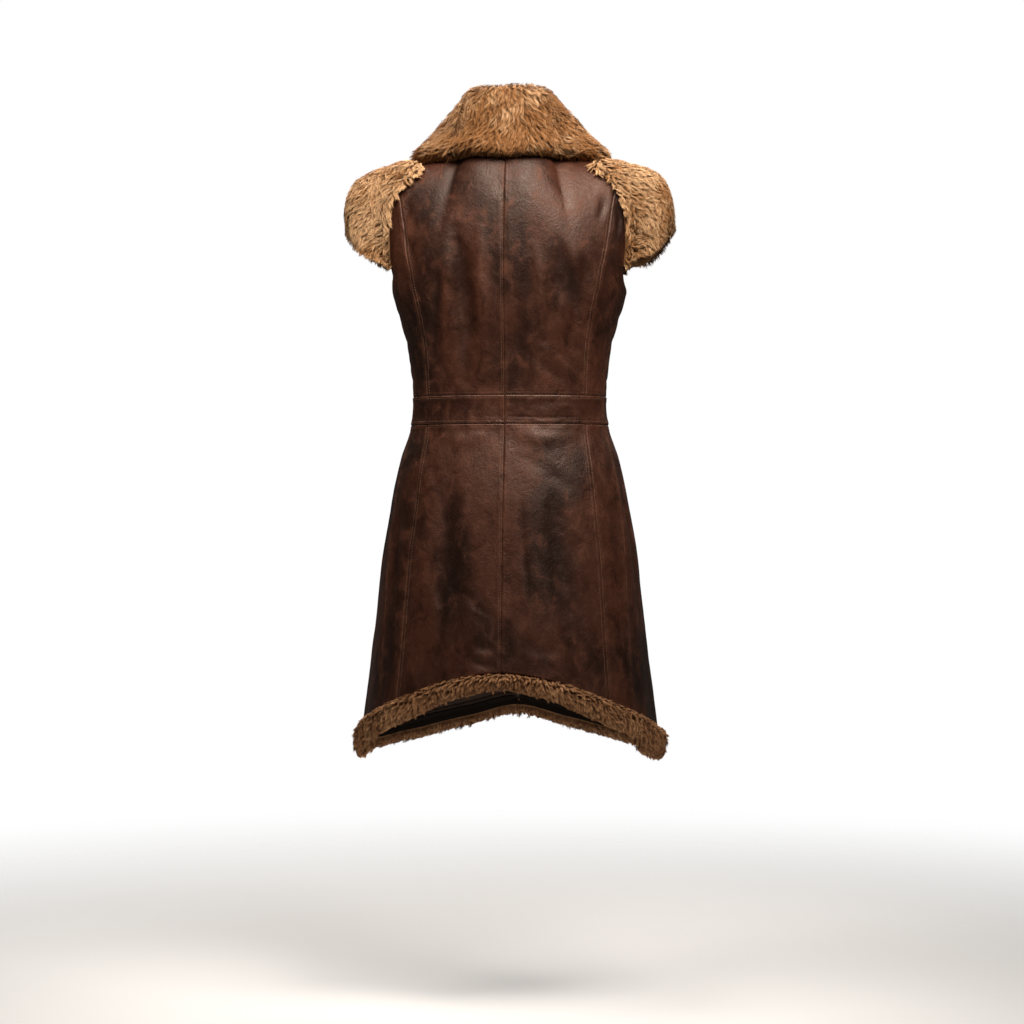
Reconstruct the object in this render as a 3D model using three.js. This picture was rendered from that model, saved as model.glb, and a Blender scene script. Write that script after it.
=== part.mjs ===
// A sleeveless leather coat as it is worn, with nobody in it: a fitted bodice on a waistband, a flared skirt
// with an arched hem, a fur shawl collar, a fur cap over each shoulder and a fur band round the hem.
// Millimetres, +Z up, the front faces -Y and the wearer's left is +X. The origin is the middle of the neck's
// base, level with the shoulder seams, where the coat hangs on its wearer.
import * as THREE from "three";

const LEATHER_THICKNESS = 2;
const SEAM_GAP = 0.3;
const SEWN_CLEARANCE = 0.6; // between a fur piece and the leather along the seam that holds it
const CAP_CLEARANCE = 0.9; // under the shoulder caps
const FUR_CLEARANCE = 3; // and where the collar only lies on the leather
const HEM_GAP = 0.9; // between the leather's lower edge and the hem's fur
const WAISTBAND_RAISE = 1; // the waistband stands proud of the panels by this
const WAISTBAND_TOP = -458;
const WAISTBAND_BOTTOM = -510;
const YOKE_HEIGHT = -235; // above this the bodice is open at the sides, for the arms
const UNDERARM_DROP = 26; // how far the armholes reach below that height
const ARMHOLE_BACK_ANGLE = 74;
const ARMHOLE_FRONT_ANGLE = 112;
const NECK_HALF_WIDTH = 78;
const NECK_BACK_DEPTH = 74;
const NECK_BACK_HEIGHT = -4;
const NECK_SHARE = 0.4; // the share of the back's top edge that is the neck, from the middle
const SHOULDER_TIP = new THREE.Vector3(200, 0, -42);
const SHOULDER_NECK = new THREE.Vector3(NECK_HALF_WIDTH, 0, 2);

// The yoke is a smooth curve at each place across it. It starts straight up, by its lift, and ends level with
// the neck or the shoulder seam, from a handle that reaches out and drops from there by these sizes.
const YOKE_LIFT = 70;
const BACK_REACH = { middle: 44, shoulder: 92 };
const BACK_DROP = { middle: 40, shoulder: 3 };
const BACK_SPREAD = 15; // how far the handle and the lift lean outwards at the armhole
const FRONT_REACH = { neck: 98, shoulder: 80 };
const FRONT_DROP = 3;
const FRONT_SPREAD = { neck: 6, shoulder: 2 };
const NECK_OPENING = 20; // how far the front edges swing apart at once above the yoke height
const PRINCESS_TOP = 0.95; // how far across the back yoke the princess seam meets the armhole
const PRINCESS_BEND = 1.3;

const table = (columns, rows) =>
  rows.map((row) => Object.fromEntries(columns.map((name, i) => [name, row[i]])));

// Angles go round the coat in degrees, from 0 at the centre back through 90 at the side to 180 in front.
// The leather's outline at each height.
const RINGS = table(
  ["height", "halfWidth", "backDepth", "frontDepth", "roundness"],
  [
    [-1145, 284, 212, 203, 2.05],
    [-1056, 273, 201, 194, 2.05],
    [-923, 256, 181, 177, 2.08],
    [-834, 246, 168, 167, 2.1],
    [-746, 236, 156, 157, 2.12],
    [-657, 220, 143, 147, 2.15],
    [-612, 211, 133, 141, 2.18],
    [-568, 200, 121, 134, 2.2],
    [-523, 185, 109, 127, 2.25],
    [-479, 178, 104, 123, 2.3],
    [-435, 180, 106, 124, 2.3],
    [-368, 188, 113, 127, 2.35],
    [-324, 199, 120, 130, 2.4],
    [-260, 217, 127, 132, 2.4],
    [-200, 221, 130, 133, 2.4],
  ],
);

// Where the shaped seams run: between centre back and side back, and between back and front.
const SEAMS = table(
  ["height", "princessAngle", "sideAngle"],
  [
    [-1145, 44.6, 57],
    [-888, 45.2, 61],
    [-747, 45.6, 65],
    [-646, 46.4, 69],
    [-559, 48, 72],
    [-490, 51.5, 75],
    [-403, 50.5, 78],
    [-293, 47.5, 82],
    [-235, 48.6, 84],
  ],
);

// The hem: the leather's lower edge and the fur band's below it, which steps down from the back strip to the
// front ones at the side seam. The first and last rows only keep the curves level in the middle.
const HEM = table(
  ["angle", "leatherEdge", "backFurEdge", "frontFurEdge"],
  [
    [-20, -973, -1008, -1008],
    [0, -958, -988, -988],
    [20, -973, -1008, -1008],
    [40, -1003, -1047, -1047],
    [57, -1032, -1076, -1094],
    [72, -1053, -1100, -1116],
    [90, -1076, -1122, -1124],
    [110, -1074, -1118, -1118],
    [135, -1060, -1104, -1104],
    [160, -1040, -1083, -1083],
    [180, -1020, -1060, -1060],
    [200, -1040, -1083, -1083],
  ],
);

// The largest folds and swells, on the wearer's left where the angle is positive and on the right where it is
// negative. A trough has a negative depth. It fades out at its top and bottom, or grows down to the hem.
const FOLDS = table(
  ["angle", "top", "bottom", "spread", "depth", "leanPer100"],
  [
    [15, -150, -400, 4.5, -6, 0],
    [29, -70, -260, 10, 5, 0],
    [-29, -70, -270, 11, 6, 0],
    [-21, -190, -380, 4, -5, 1],
    [-37, -210, -390, 4, -4, 1],
    [8, -240, -440, 5, 3, 0],
    [27, -560, -1150, 7, -9, 0.5],
    [10, -600, -1150, 6, 4, 0],
    [-17, -620, -1150, 7, 5, 0],
    [-33, -680, -1150, 6, -6, 0],
    [50, -700, -1150, 6, 6, 0],
    [-55, -640, -1150, 7, 7, 0],
    [78, -560, -1150, 9, -6, 0],
    [-82, -560, -1150, 9, -6, 0],
    [108, -640, -1150, 9, 7, 0],
    [-110, -640, -1150, 9, 7, 0],
    [138, -600, -1150, 8, -8, 0],
    [-136, -620, -1150, 8, -7, 0],
    [160, -660, -1150, 8, 5, 0],
    [-162, -660, -1150, 8, 5, 0],
    [150, -180, -420, 9, 4, 0],
    [-152, -180, -420, 9, 4, 0],
  ],
);

// The collar from the centre back to its front ends. Seam and edge are places on the back yoke down to the
// shoulder and on the front yoke after it: across, from 0 to 1, and up, from 0 to 1. It stands up from the
// seam by so much, folds over, and its two layers are so thick together.
const BACK_COLLAR = table(
  ["along", "seamAcross", "edgeAcross", "edgeUp", "stand", "thickness"],
  [
    [0, 0, 0, 0.862, 104, 28],
    [0.25, 0.13, 0.17, 0.85, 103, 28],
    [0.5, 0.26, 0.43, 0.77, 101, 28],
    [0.75, 0.345, 0.64, 0.85, 96, 28],
    [1, NECK_SHARE, 0.87, 1, 90, 27],
  ],
);
const FRONT_COLLAR = table(
  ["along", "seamUp", "edgeAcross", "edgeUp", "stand", "thickness"],
  [
    [0, 1, 0.78, 1, 90, 27],
    [0.2, 0.9, 0.7, 0.84, 74, 28],
    [0.45, 0.7, 0.56, 0.62, 46, 29],
    [0.72, 0.4, 0.4, 0.36, 28, 28],
    [1, 0.06, 0.2, 0.03, 18, 22],
  ],
);
const COLLAR_BACK_STEPS = 18;
const COLLAR_FRONT_STEPS = 16;
const COLLAR_LEAN = 5; // how far the fold lies inside the seam below it
const COLLAR_REST = 34; // so much of the fall lies on the leather, and the rest stands off it
const FLAT_STAND = 30; // where the stand is this low the two layers lie flat on each other
const FULL_STAND = 70; // and where it is this high the fall stands off the stand in full
const COLLAR_RIM = 7; // how far the fur bulges past the fall's edge
const COLLAR_THROAT = 4; // how far the stand bows in towards the neck

// The shoulder cap from the back of the armhole over the shoulder to its front. The inner edge lies on the
// yoke, the cap leaves the leather at the armhole's edge, and its rim hangs free over the upper arm.
const CAP = table(
  ["along", "innerAcross", "innerUp", "armholeUp", "rimX", "rimY", "rimZ", "swell"],
  [
    [0, 0.95, 0.07, 0.06, 250, 66, -208, 4],
    [0.12, 0.95, 0.26, 0.22, 270, 64, -194, 10],
    [0.22, 0.94, 0.48, 0.42, 285, 54, -174, 16],
    [0.31, 0.87, 0.66, 0.6, 293, 40, -160, 22],
    [0.38, 0.73, 0.78, 0.75, 296, 25, -153, 26],
    [0.43, 0.78, 0.87, 0.87, 297, 10, -150, 28],
    [0.5, 0.94, 1, 1, 297, -8, -149, 28],
    [0.57, 0.84, 0.88, 0.87, 296, -26, -151, 28],
    [0.63, 0.8, 0.78, 0.75, 293, -42, -156, 26],
    [0.7, 0.86, 0.66, 0.6, 287, -58, -165, 22],
    [0.79, 0.93, 0.48, 0.42, 274, -74, -182, 16],
    [0.89, 0.95, 0.26, 0.22, 256, -84, -200, 10],
    [1, 0.95, 0.07, 0.06, 236, -84, -210, 4],
  ],
);
const CAP_THICKNESS = 18;
const CAP_EDGE = 0.07; // how close the cap's rounding comes to a sharp edge, as a share of its width
const CAP_STEPS = { along: 26, out: 8 };
const HEM_FUR_INSIDE = 11; // how far the hem's fur reaches inside the leather, and outside it
const HEM_FUR_OUTSIDE = 12;
const HEM_END_FULLNESS = 0.78; // the fur is pressed flatter where two strips meet
const RUNS_TO_HEM = -1100; // a fold whose bottom is lower than this doesn't fade there

const LEATHER = new THREE.MeshStandardMaterial({ color: "#432a20", roughness: 0.5, metalness: 0 });
const WAISTBAND_LEATHER = new THREE.MeshStandardMaterial({ color: "#3d241a", roughness: 0.48, metalness: 0 });
const COLLAR_FUR = new THREE.MeshStandardMaterial({ color: "#a37b4b", roughness: 0.95, metalness: 0 });
const HEM_FUR = new THREE.MeshStandardMaterial({ color: "#7a5636", roughness: 0.95, metalness: 0 });

const coat = new THREE.Group();

// A column of a table at a place between its rows, on a smooth curve through them.
function along(rows, key, place, column) {
  const last = rows.length - 1;
  let i = 0;
  while (i < last - 1 && rows[i + 1][key] < place) i += 1;
  const slope = (k) => {
    const before = rows[Math.max(k - 1, 0)];
    const after = rows[Math.min(k + 1, last)];
    return (after[column] - before[column]) / (after[key] - before[key]);
  };
  const span = rows[i + 1][key] - rows[i][key];
  const p = THREE.MathUtils.clamp((place - rows[i][key]) / span, 0, 1);
  const rise = p * p * (3 - 2 * p);
  const start = p * (1 - p) * (1 - p) * span * slope(i);
  const end = -p * p * (1 - p) * span * slope(i + 1);
  return rows[i][column] * (1 - rise) + rows[i + 1][column] * rise + start + end;
}

const seamAngle = (column, height) => along(SEAMS, "height", height, column);
const hemHeight = (column, angle) => along(HEM, "angle", Math.abs(angle), column);

// How far the folds move the leather outwards at a place.
function drape(angle, height) {
  let moved = 0;
  for (const fold of FOLDS) {
    const middle = (fold.top + fold.bottom) / 2;
    const reach = (fold.top - fold.bottom) / 2;
    const fade = 1 - ((height - middle) / reach) ** 2;
    const growth = (fold.top - height) / (fold.top - fold.bottom);
    const strength = fold.bottom < RUNS_TO_HEM ? growth : fade;
    const off = (angle - fold.angle - fold.leanPer100 * (fold.top - height) * 0.01) / fold.spread;
    moved += fold.depth * THREE.MathUtils.clamp(strength, 0, 1) * Math.exp(-off * off);
  }
  return moved;
}

// A point of the leather's outline, with its folds left out.
function ringPoint(angle, height) {
  const size = (column) => along(RINGS, "height", height, column);
  const power = 2 / size("roundness");
  const sideways = Math.sin(THREE.MathUtils.degToRad(angle));
  const backwards = Math.cos(THREE.MathUtils.degToRad(angle));
  const depth = size(backwards > 0 ? "backDepth" : "frontDepth");
  return new THREE.Vector3(
    size("halfWidth") * Math.sign(sideways) * Math.abs(sideways) ** power,
    depth * Math.sign(backwards) * Math.abs(backwards) ** power,
    height,
  );
}

function outwards(angle, height) {
  const point = ringPoint(angle, height);
  const width = along(RINGS, "height", height, "halfWidth");
  const depth = along(RINGS, "height", height, point.y > 0 ? "backDepth" : "frontDepth");
  return new THREE.Vector3(point.x / width ** 2, point.y / depth ** 2, 0).normalize();
}

// The leather's outer face up to the yoke.
function body(angle, height) {
  return ringPoint(angle, height).addScaledVector(outwards(angle, height), drape(angle, height));
}

function bezier(points, share) {
  const rest = 1 - share;
  const weights = [rest ** 3, 3 * rest * rest * share, 3 * rest * share * share, share ** 3];
  return points.reduce((sum, point, i) => sum.addScaledVector(point, weights[i]), new THREE.Vector3());
}

// Where a point of the outline would be if it carried on straight up.
function lifted(angle) {
  const step = 10;
  const base = ringPoint(angle, YOKE_HEIGHT);
  const rise = base.clone().sub(ringPoint(angle, YOKE_HEIGHT - step));
  return base.addScaledVector(rise, YOKE_LIFT / step);
}

// The back above the yoke height: across is 0 at the centre back and 1 at the armhole, up is 1 at the neck
// and the shoulder seam. Side is 1 on the wearer's left and -1 on the right.
function backYoke(side, across, up) {
  const angle = side * across * ARMHOLE_BACK_ANGLE;
  const neckTurn = (Math.min(across / NECK_SHARE, 1) * Math.PI) / 2;
  const seamShare = Math.max(0, (across - NECK_SHARE) / (1 - NECK_SHARE));
  const top = SHOULDER_NECK.clone().lerp(SHOULDER_TIP, seamShare);
  if (across < NECK_SHARE) {
    const height = THREE.MathUtils.lerp(NECK_BACK_HEIGHT, SHOULDER_NECK.z, 1 - Math.cos(neckTurn));
    top.set(NECK_HALF_WIDTH * Math.sin(neckTurn), NECK_BACK_DEPTH * Math.cos(neckTurn), height);
  }
  const reach = THREE.MathUtils.lerp(BACK_REACH.middle, BACK_REACH.shoulder, Math.min(2 * across, 1));
  const drop = THREE.MathUtils.lerp(BACK_DROP.middle, BACK_DROP.shoulder, Math.min(across / NECK_SHARE, 1));
  const spread = BACK_SPREAD * across * across;
  const handle = top.clone().add(new THREE.Vector3(spread, reach, -drop));
  top.x *= side;
  handle.x *= side;
  const bulge = new THREE.Vector3(side * spread, 0, 0);
  const point = bezier([ringPoint(angle, YOKE_HEIGHT), lifted(angle).add(bulge), handle, top], up);
  return point.addScaledVector(outwards(angle, YOKE_HEIGHT), drape(angle, point.z) * (1 - up));
}

// The front above the yoke height: across is 0 at the neckline and 1 at the armhole.
function frontYoke(side, across, up) {
  const angle = side * (180 - across * (180 - ARMHOLE_FRONT_ANGLE));
  const top = SHOULDER_NECK.clone().lerp(SHOULDER_TIP, across);
  const reach = THREE.MathUtils.lerp(FRONT_REACH.neck, FRONT_REACH.shoulder, across);
  const spread = THREE.MathUtils.lerp(FRONT_SPREAD.neck, FRONT_SPREAD.shoulder, across);
  const handle = top.clone().add(new THREE.Vector3(spread, -reach, -FRONT_DROP));
  top.x *= side;
  handle.x *= side;
  const openness = new THREE.Vector3(side * NECK_OPENING * (1 - across), 0, 0);
  const point = bezier([ringPoint(angle, YOKE_HEIGHT), lifted(angle).add(openness), handle, top], up);
  return point.addScaledVector(outwards(angle, YOKE_HEIGHT), drape(angle, point.z) * (1 - up));
}

// A surface's point and its normal away from the wearer, from its two directions.
function sample(surface, u, v) {
  const step = 0.001;
  const point = surface(u, v);
  const acrossStep = surface(u + step, v).sub(surface(u - step, v));
  const upStep = surface(u, v + step).sub(surface(u, v - step));
  return { point, normal: upStep.cross(acrossStep).normalize() };
}

// A closed mesh from points and triangles, turned inside out if its faces point in.
function closedMesh(name, material, points, triangles) {
  let volume = 0;
  for (const [a, b, c] of triangles) volume += points[a].dot(points[b].clone().cross(points[c]));
  const facing = volume < 0 ? triangles.map(([a, b, c]) => [a, c, b]) : triangles;
  const geometry = new THREE.BufferGeometry();
  geometry.setFromPoints(points);
  geometry.setIndex(facing.flat());
  geometry.computeVertexNormals();
  const mesh = new THREE.Mesh(geometry, material);
  mesh.name = name;
  coat.add(mesh);
}

// The samples of a panel's corner, moved in from a seam by half the gap wherever the panel ends there.
function seamPoint(grid, cells, row, column) {
  const has = (down, left) => cells.has(`${row - down},${column - left}`);
  const around = [has(1, 1), has(1, 0), has(0, 1), has(0, 0)];
  const [belowLeft, belowRight, aboveLeft, aboveRight] = around;
  const count = around.filter(Boolean).length;
  let rows = Number(aboveLeft || aboveRight) - Number(belowLeft || belowRight);
  let columns = Number(belowRight || aboveRight) - Number(belowLeft || aboveLeft);
  if (count === 3) {
    rows = belowLeft && belowRight ? -1 : 1;
    columns = belowLeft && aboveLeft ? -1 : 1;
  }
  const at = grid[row][column];
  const point = at.point.clone();
  for (const [stepRow, stepColumn] of [[rows, 0], [0, columns]]) {
    if (!stepRow && !stepColumn) continue;
    const inwards = grid[row + stepRow][column + stepColumn].point.clone().sub(at.point);
    point.addScaledVector(inwards.normalize(), SEAM_GAP / 2);
  }
  return { point, normal: at.normal };
}

// A panel: a wall over some cells of a grid, with faces moved out and in from the grid's surface. A place of
// the grid may have a pile of its own, which is then how far the outer face is moved there.
function panel(name, material, grid, cellList, outer, inner) {
  const cells = new Set(cellList.map(([row, column]) => `${row},${column}`));
  const numbers = new Map();
  const points = [];
  const corner = (row, column) => {
    const key = `${row},${column}`;
    if (!numbers.has(key)) {
      const { point, normal } = seamPoint(grid, cells, row, column);
      numbers.set(key, points.length / 2);
      points.push(point.clone().addScaledVector(normal, grid[row][column].pile ?? outer));
      points.push(point.clone().addScaledVector(normal, inner));
    }
    return numbers.get(key);
  };
  const triangles = [];
  const edges = new Map();
  const quad = (a, b, c, d) => triangles.push([a, b, c], [a, c, d]);
  for (const [row, column] of cellList) {
    const turns = [[0, 0], [1, 0], [1, 1], [0, 1]];
    const ring = turns.map(([up, along]) => corner(row + up, column + along));
    const [a, b, c, d] = ring;
    quad(2 * a, 2 * b, 2 * c, 2 * d);
    quad(2 * a + 1, 2 * d + 1, 2 * c + 1, 2 * b + 1);
    ring.forEach((from, i) => {
      const to = ring[(i + 1) % 4];
      if (!edges.delete(`${to},${from}`)) edges.set(`${from},${to}`, [from, to]);
    });
  }
  for (const [from, to] of edges.values()) quad(2 * to, 2 * from, 2 * from + 1, 2 * to + 1);
  closedMesh(name, material, points, triangles);
}

// A solid through closed loops of points, one after the other, with flat ends.
function loft(name, material, loops) {
  const count = loops[0].length;
  const points = loops.flat();
  const triangles = [];
  for (let i = 0; i < loops.length - 1; i += 1) {
    for (let j = 0; j < count; j += 1) {
      const next = (j + 1) % count;
      const here = i * count;
      const there = here + count;
      triangles.push([here + j, there + j, there + next], [here + j, there + next, here + next]);
    }
  }
  triangles.push(...endFace(loops[0]));
  for (const [a, b, c] of endFace(loops.at(-1)).map((face) => face.map((k) => k + points.length - count))) {
    triangles.push([a, c, b]);
  }
  closedMesh(name, material, points, triangles);
}

// The triangles that fill a loop, whatever its outline, turned the same way as the loop runs.
function endFace(loop) {
  const normal = new THREE.Vector3();
  loop.forEach((point, i) => normal.add(point.clone().cross(loop[(i + 1) % loop.length])));
  const across = loop[1].clone().sub(loop[0]).normalize();
  const upwards = normal.normalize().clone().cross(across).normalize();
  const outline = loop.map((point) => new THREE.Vector2(point.dot(across), point.dot(upwards)));
  return THREE.ShapeUtils.triangulateShape(outline, []);
}

// Columns of the leather's grid, counted from the centre back.
const COLUMNS = { princess: 8, armholeBack: 12, side: 15, armholeFront: 19, front: 29 };
const BODICE_ROWS = 8;
const YOKE_ROWS = 10;
const PRINCESS_ROWS = 7; // of the yoke, up to where the princess seam runs into the armhole
const SKIRT_ROWS = 13;
const BAND_ROWS = 2;
const SIDE_SEAM_SET = 4; // degrees that the side seam stays in front of the armhole's back edge
const HEM_SEAM_HEIGHT = -1040; // where the skirt's columns are measured for its hem

// The angle of a grid column at a height: even steps between the seams, and the armhole's back edge above the
// waistband.
function columnAngle(column, height) {
  const aboveBand = height > WAISTBAND_TOP;
  const side = seamAngle("sideAngle", height);
  const stops = [
    [0, 0],
    [COLUMNS.princess, seamAngle("princessAngle", height)],
    ...(aboveBand ? [[COLUMNS.armholeBack, ARMHOLE_BACK_ANGLE]] : []),
    [COLUMNS.side, aboveBand ? Math.max(side, ARMHOLE_BACK_ANGLE + SIDE_SEAM_SET) : side],
    [COLUMNS.armholeFront, ARMHOLE_FRONT_ANGLE],
    [COLUMNS.front, 180],
  ];
  const i = stops.findIndex(([stop]) => stop >= column);
  if (stops[i][0] === column) return stops[i][1];
  const [[before, low], [after, high]] = [stops[i - 1], stops[i]];
  return low + ((high - low) * (column - before)) / (after - before);
}

// A row is a list of samples, and its heights may differ from column to column.
function ringRow(side, heightAt) {
  const row = [];
  for (let column = 0; column <= COLUMNS.front; column += 1) {
    const height = heightAt(column);
    row.push(sample(body, side * columnAngle(column, height), height));
  }
  return row;
}

// The lower edge of the armhole, level with the yoke outside it.
function bodiceTop(column) {
  const middle = (ARMHOLE_BACK_ANGLE + ARMHOLE_FRONT_ANGLE) / 2;
  const half = (ARMHOLE_FRONT_ANGLE - ARMHOLE_BACK_ANGLE) / 2;
  const off = (columnAngle(column, YOKE_HEIGHT) - middle) / half;
  return YOKE_HEIGHT - UNDERARM_DROP * Math.sqrt(Math.max(0, 1 - off * off));
}

function yokeRow(side, step) {
  const up = step / YOKE_ROWS;
  const seamShare = Math.min(step / PRINCESS_ROWS, 1);
  const startShare = seamAngle("princessAngle", YOKE_HEIGHT) / ARMHOLE_BACK_ANGLE;
  const princess = THREE.MathUtils.lerp(startShare, PRINCESS_TOP, seamShare ** PRINCESS_BEND);
  const row = [];
  for (let column = 0; column <= COLUMNS.front; column += 1) {
    if (column <= COLUMNS.armholeBack) {
      const outer = (column - COLUMNS.princess) / (COLUMNS.armholeBack - COLUMNS.princess);
      const inner = (princess * column) / COLUMNS.princess;
      const across = outer > 0 ? princess + (1 - princess) * outer : inner;
      row.push(sample((u, v) => backYoke(side, side * u, v), side * across, up));
    } else if (column >= COLUMNS.armholeFront) {
      const across = (COLUMNS.front - column) / (COLUMNS.front - COLUMNS.armholeFront);
      row.push(sample((u, v) => frontYoke(side, -side * u, v), -side * across, up));
    } else row.push(null);
  }
  return row;
}

function block(firstRow, lastRow, firstColumn, lastColumn) {
  const cells = [];
  for (let row = firstRow; row < lastRow; row += 1) {
    for (let column = firstColumn; column < lastColumn; column += 1) cells.push([row, column]);
  }
  return cells;
}

function leatherPanels(sideName, side) {
  const bodice = [];
  for (let i = 0; i <= BODICE_ROWS; i += 1) {
    const share = i / BODICE_ROWS;
    bodice.push(ringRow(side, (column) => THREE.MathUtils.lerp(WAISTBAND_TOP, bodiceTop(column), share)));
  }
  for (let i = 1; i <= YOKE_ROWS; i += 1) bodice.push(yokeRow(side, i));
  const top = BODICE_ROWS + YOKE_ROWS;
  const seamEnd = BODICE_ROWS + PRINCESS_ROWS;
  const add = (name, material, grid, cells, raise) =>
    panel(`${name}_${sideName}`, material, grid, cells, raise, raise - LEATHER_THICKNESS);
  add("back_bodice", LEATHER, bodice, [
    ...block(0, top, 0, COLUMNS.princess),
    ...block(seamEnd, top, COLUMNS.princess, COLUMNS.armholeBack),
  ], 0);
  add("side_bodice", LEATHER, bodice, [
    ...block(0, seamEnd, COLUMNS.princess, COLUMNS.armholeBack),
    ...block(0, BODICE_ROWS, COLUMNS.armholeBack, COLUMNS.side),
  ], 0);
  add("front_bodice", LEATHER, bodice, [
    ...block(0, BODICE_ROWS, COLUMNS.side, COLUMNS.armholeFront),
    ...block(0, top, COLUMNS.armholeFront, COLUMNS.front),
  ], 0);

  const band = [];
  for (let i = 0; i <= BAND_ROWS; i += 1) {
    band.push(ringRow(side, () => THREE.MathUtils.lerp(WAISTBAND_BOTTOM, WAISTBAND_TOP, i / BAND_ROWS)));
  }
  const raise = WAISTBAND_RAISE;
  add("waistband_back", WAISTBAND_LEATHER, band, block(0, BAND_ROWS, 0, COLUMNS.side), raise);
  add("waistband_front", WAISTBAND_LEATHER, band, block(0, BAND_ROWS, COLUMNS.side, COLUMNS.front), raise);

  const skirt = [];
  for (let i = 0; i <= SKIRT_ROWS; i += 1) {
    const heightAt = (column) => {
      const hem = hemHeight("leatherEdge", columnAngle(column, HEM_SEAM_HEIGHT));
      return THREE.MathUtils.lerp(hem, WAISTBAND_BOTTOM, i / SKIRT_ROWS);
    };
    skirt.push(ringRow(side, heightAt));
  }
  add("skirt_back", LEATHER, skirt, block(0, SKIRT_ROWS, 0, COLUMNS.princess), 0);
  add("skirt_side", LEATHER, skirt, block(0, SKIRT_ROWS, COLUMNS.princess, COLUMNS.side), 0);
  add("skirt_front", LEATHER, skirt, block(0, SKIRT_ROWS, COLUMNS.side, COLUMNS.front), 0);
}

// One section of the collar: up the inside of the stand, over the fold, down the fall to its outer edge on
// the leather, and back up between the two layers.
function collarSection(surface, seam, edge, stand, thickness) {
  const onLeather = (share, clearance = FUR_CLEARANCE) => {
    const place = [0, 1].map((k) => THREE.MathUtils.lerp(seam[k], edge[k], share));
    const { point, normal } = sample(surface, ...place);
    return { point: point.addScaledVector(normal, clearance), normal };
  };
  const foot = onLeather(0, SEWN_CLEARANCE).point;
  const tip = onLeather(1);
  const width = tip.point.distanceTo(foot);
  const up = new THREE.Vector3(0, 0, 1);
  const outward = tip.point.clone().sub(foot).normalize();
  const level = outward.clone().setZ(0).normalize();
  const layer = thickness / 2;
  const top = foot.clone().addScaledVector(up, stand).addScaledVector(level, -COLLAR_LEAN);
  const crown = top.clone().addScaledVector(up, layer * 0.55);
  const topOuter = top.clone().addScaledVector(level, layer);
  const topInner = top.clone().addScaledVector(level, -layer * 0.8);
  const inside = topInner.clone().lerp(foot, 0.55).addScaledVector(level, -COLLAR_THROAT);
  const rim = tip.point.clone().addScaledVector(tip.normal, thickness * 0.45);
  rim.addScaledVector(outward, COLLAR_RIM);
  const shoulder = tip.point.clone().addScaledVector(tip.normal, thickness * 0.92);
  const face = (share, swell) => shoulder.clone().lerp(topOuter, share).addScaledVector(level, swell);

  const standShare = Math.min(0.3, layer / width);
  const restShare = Math.max(0.62, 1 - COLLAR_REST / width);
  const openness = THREE.MathUtils.smoothstep(stand, FLAT_STAND, FULL_STAND);
  const between = (share, raised) => {
    const flat = onLeather(THREE.MathUtils.lerp(standShare, restShare, share));
    return flat.point.addScaledVector(flat.normal, 1).lerp(raised, openness);
  };
  const standBack = onLeather(standShare, SEWN_CLEARANCE).point;
  const fold = top.clone().addScaledVector(up, -layer).addScaledVector(level, 1);
  const fallBack = face(0.3, 0).addScaledVector(level, -layer * 1.35);
  return [
    foot,
    standBack,
    between(0.3, standBack.clone().lerp(fold, 0.55)),
    between(0.5, fold),
    between(0.7, fallBack),
    onLeather(restShare).point,
    onLeather((1 + restShare) / 2).point,
    tip.point,
    rim,
    shoulder,
    face(0.3, -3),
    face(0.62, 1),
    topOuter,
    crown,
    topInner,
    inside,
  ];
}

function collarHalf(side) {
  const sections = [];
  for (let i = 0; i <= COLLAR_BACK_STEPS; i += 1) {
    const at = (column) => along(BACK_COLLAR, "along", i / COLLAR_BACK_STEPS, column);
    const seam = [side * at("seamAcross"), 1];
    const edge = [side * at("edgeAcross"), at("edgeUp")];
    const surface = (u, v) => backYoke(side, side * u, v);
    sections.push(collarSection(surface, seam, edge, at("stand"), at("thickness")));
  }
  for (let i = 1; i <= COLLAR_FRONT_STEPS; i += 1) {
    const at = (column) => along(FRONT_COLLAR, "along", i / COLLAR_FRONT_STEPS, column);
    const seam = [0, at("seamUp")];
    const edge = [-side * at("edgeAcross"), at("edgeUp")];
    const surface = (u, v) => frontYoke(side, -side * u, v);
    sections.push(collarSection(surface, seam, edge, at("stand"), at("thickness")));
  }
  return sections;
}

function furCollar() {
  const left = collarHalf(1);
  const right = collarHalf(-1).slice(1);
  loft("fur_collar", COLLAR_FUR, [...left.reverse(), ...right]);
}

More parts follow.
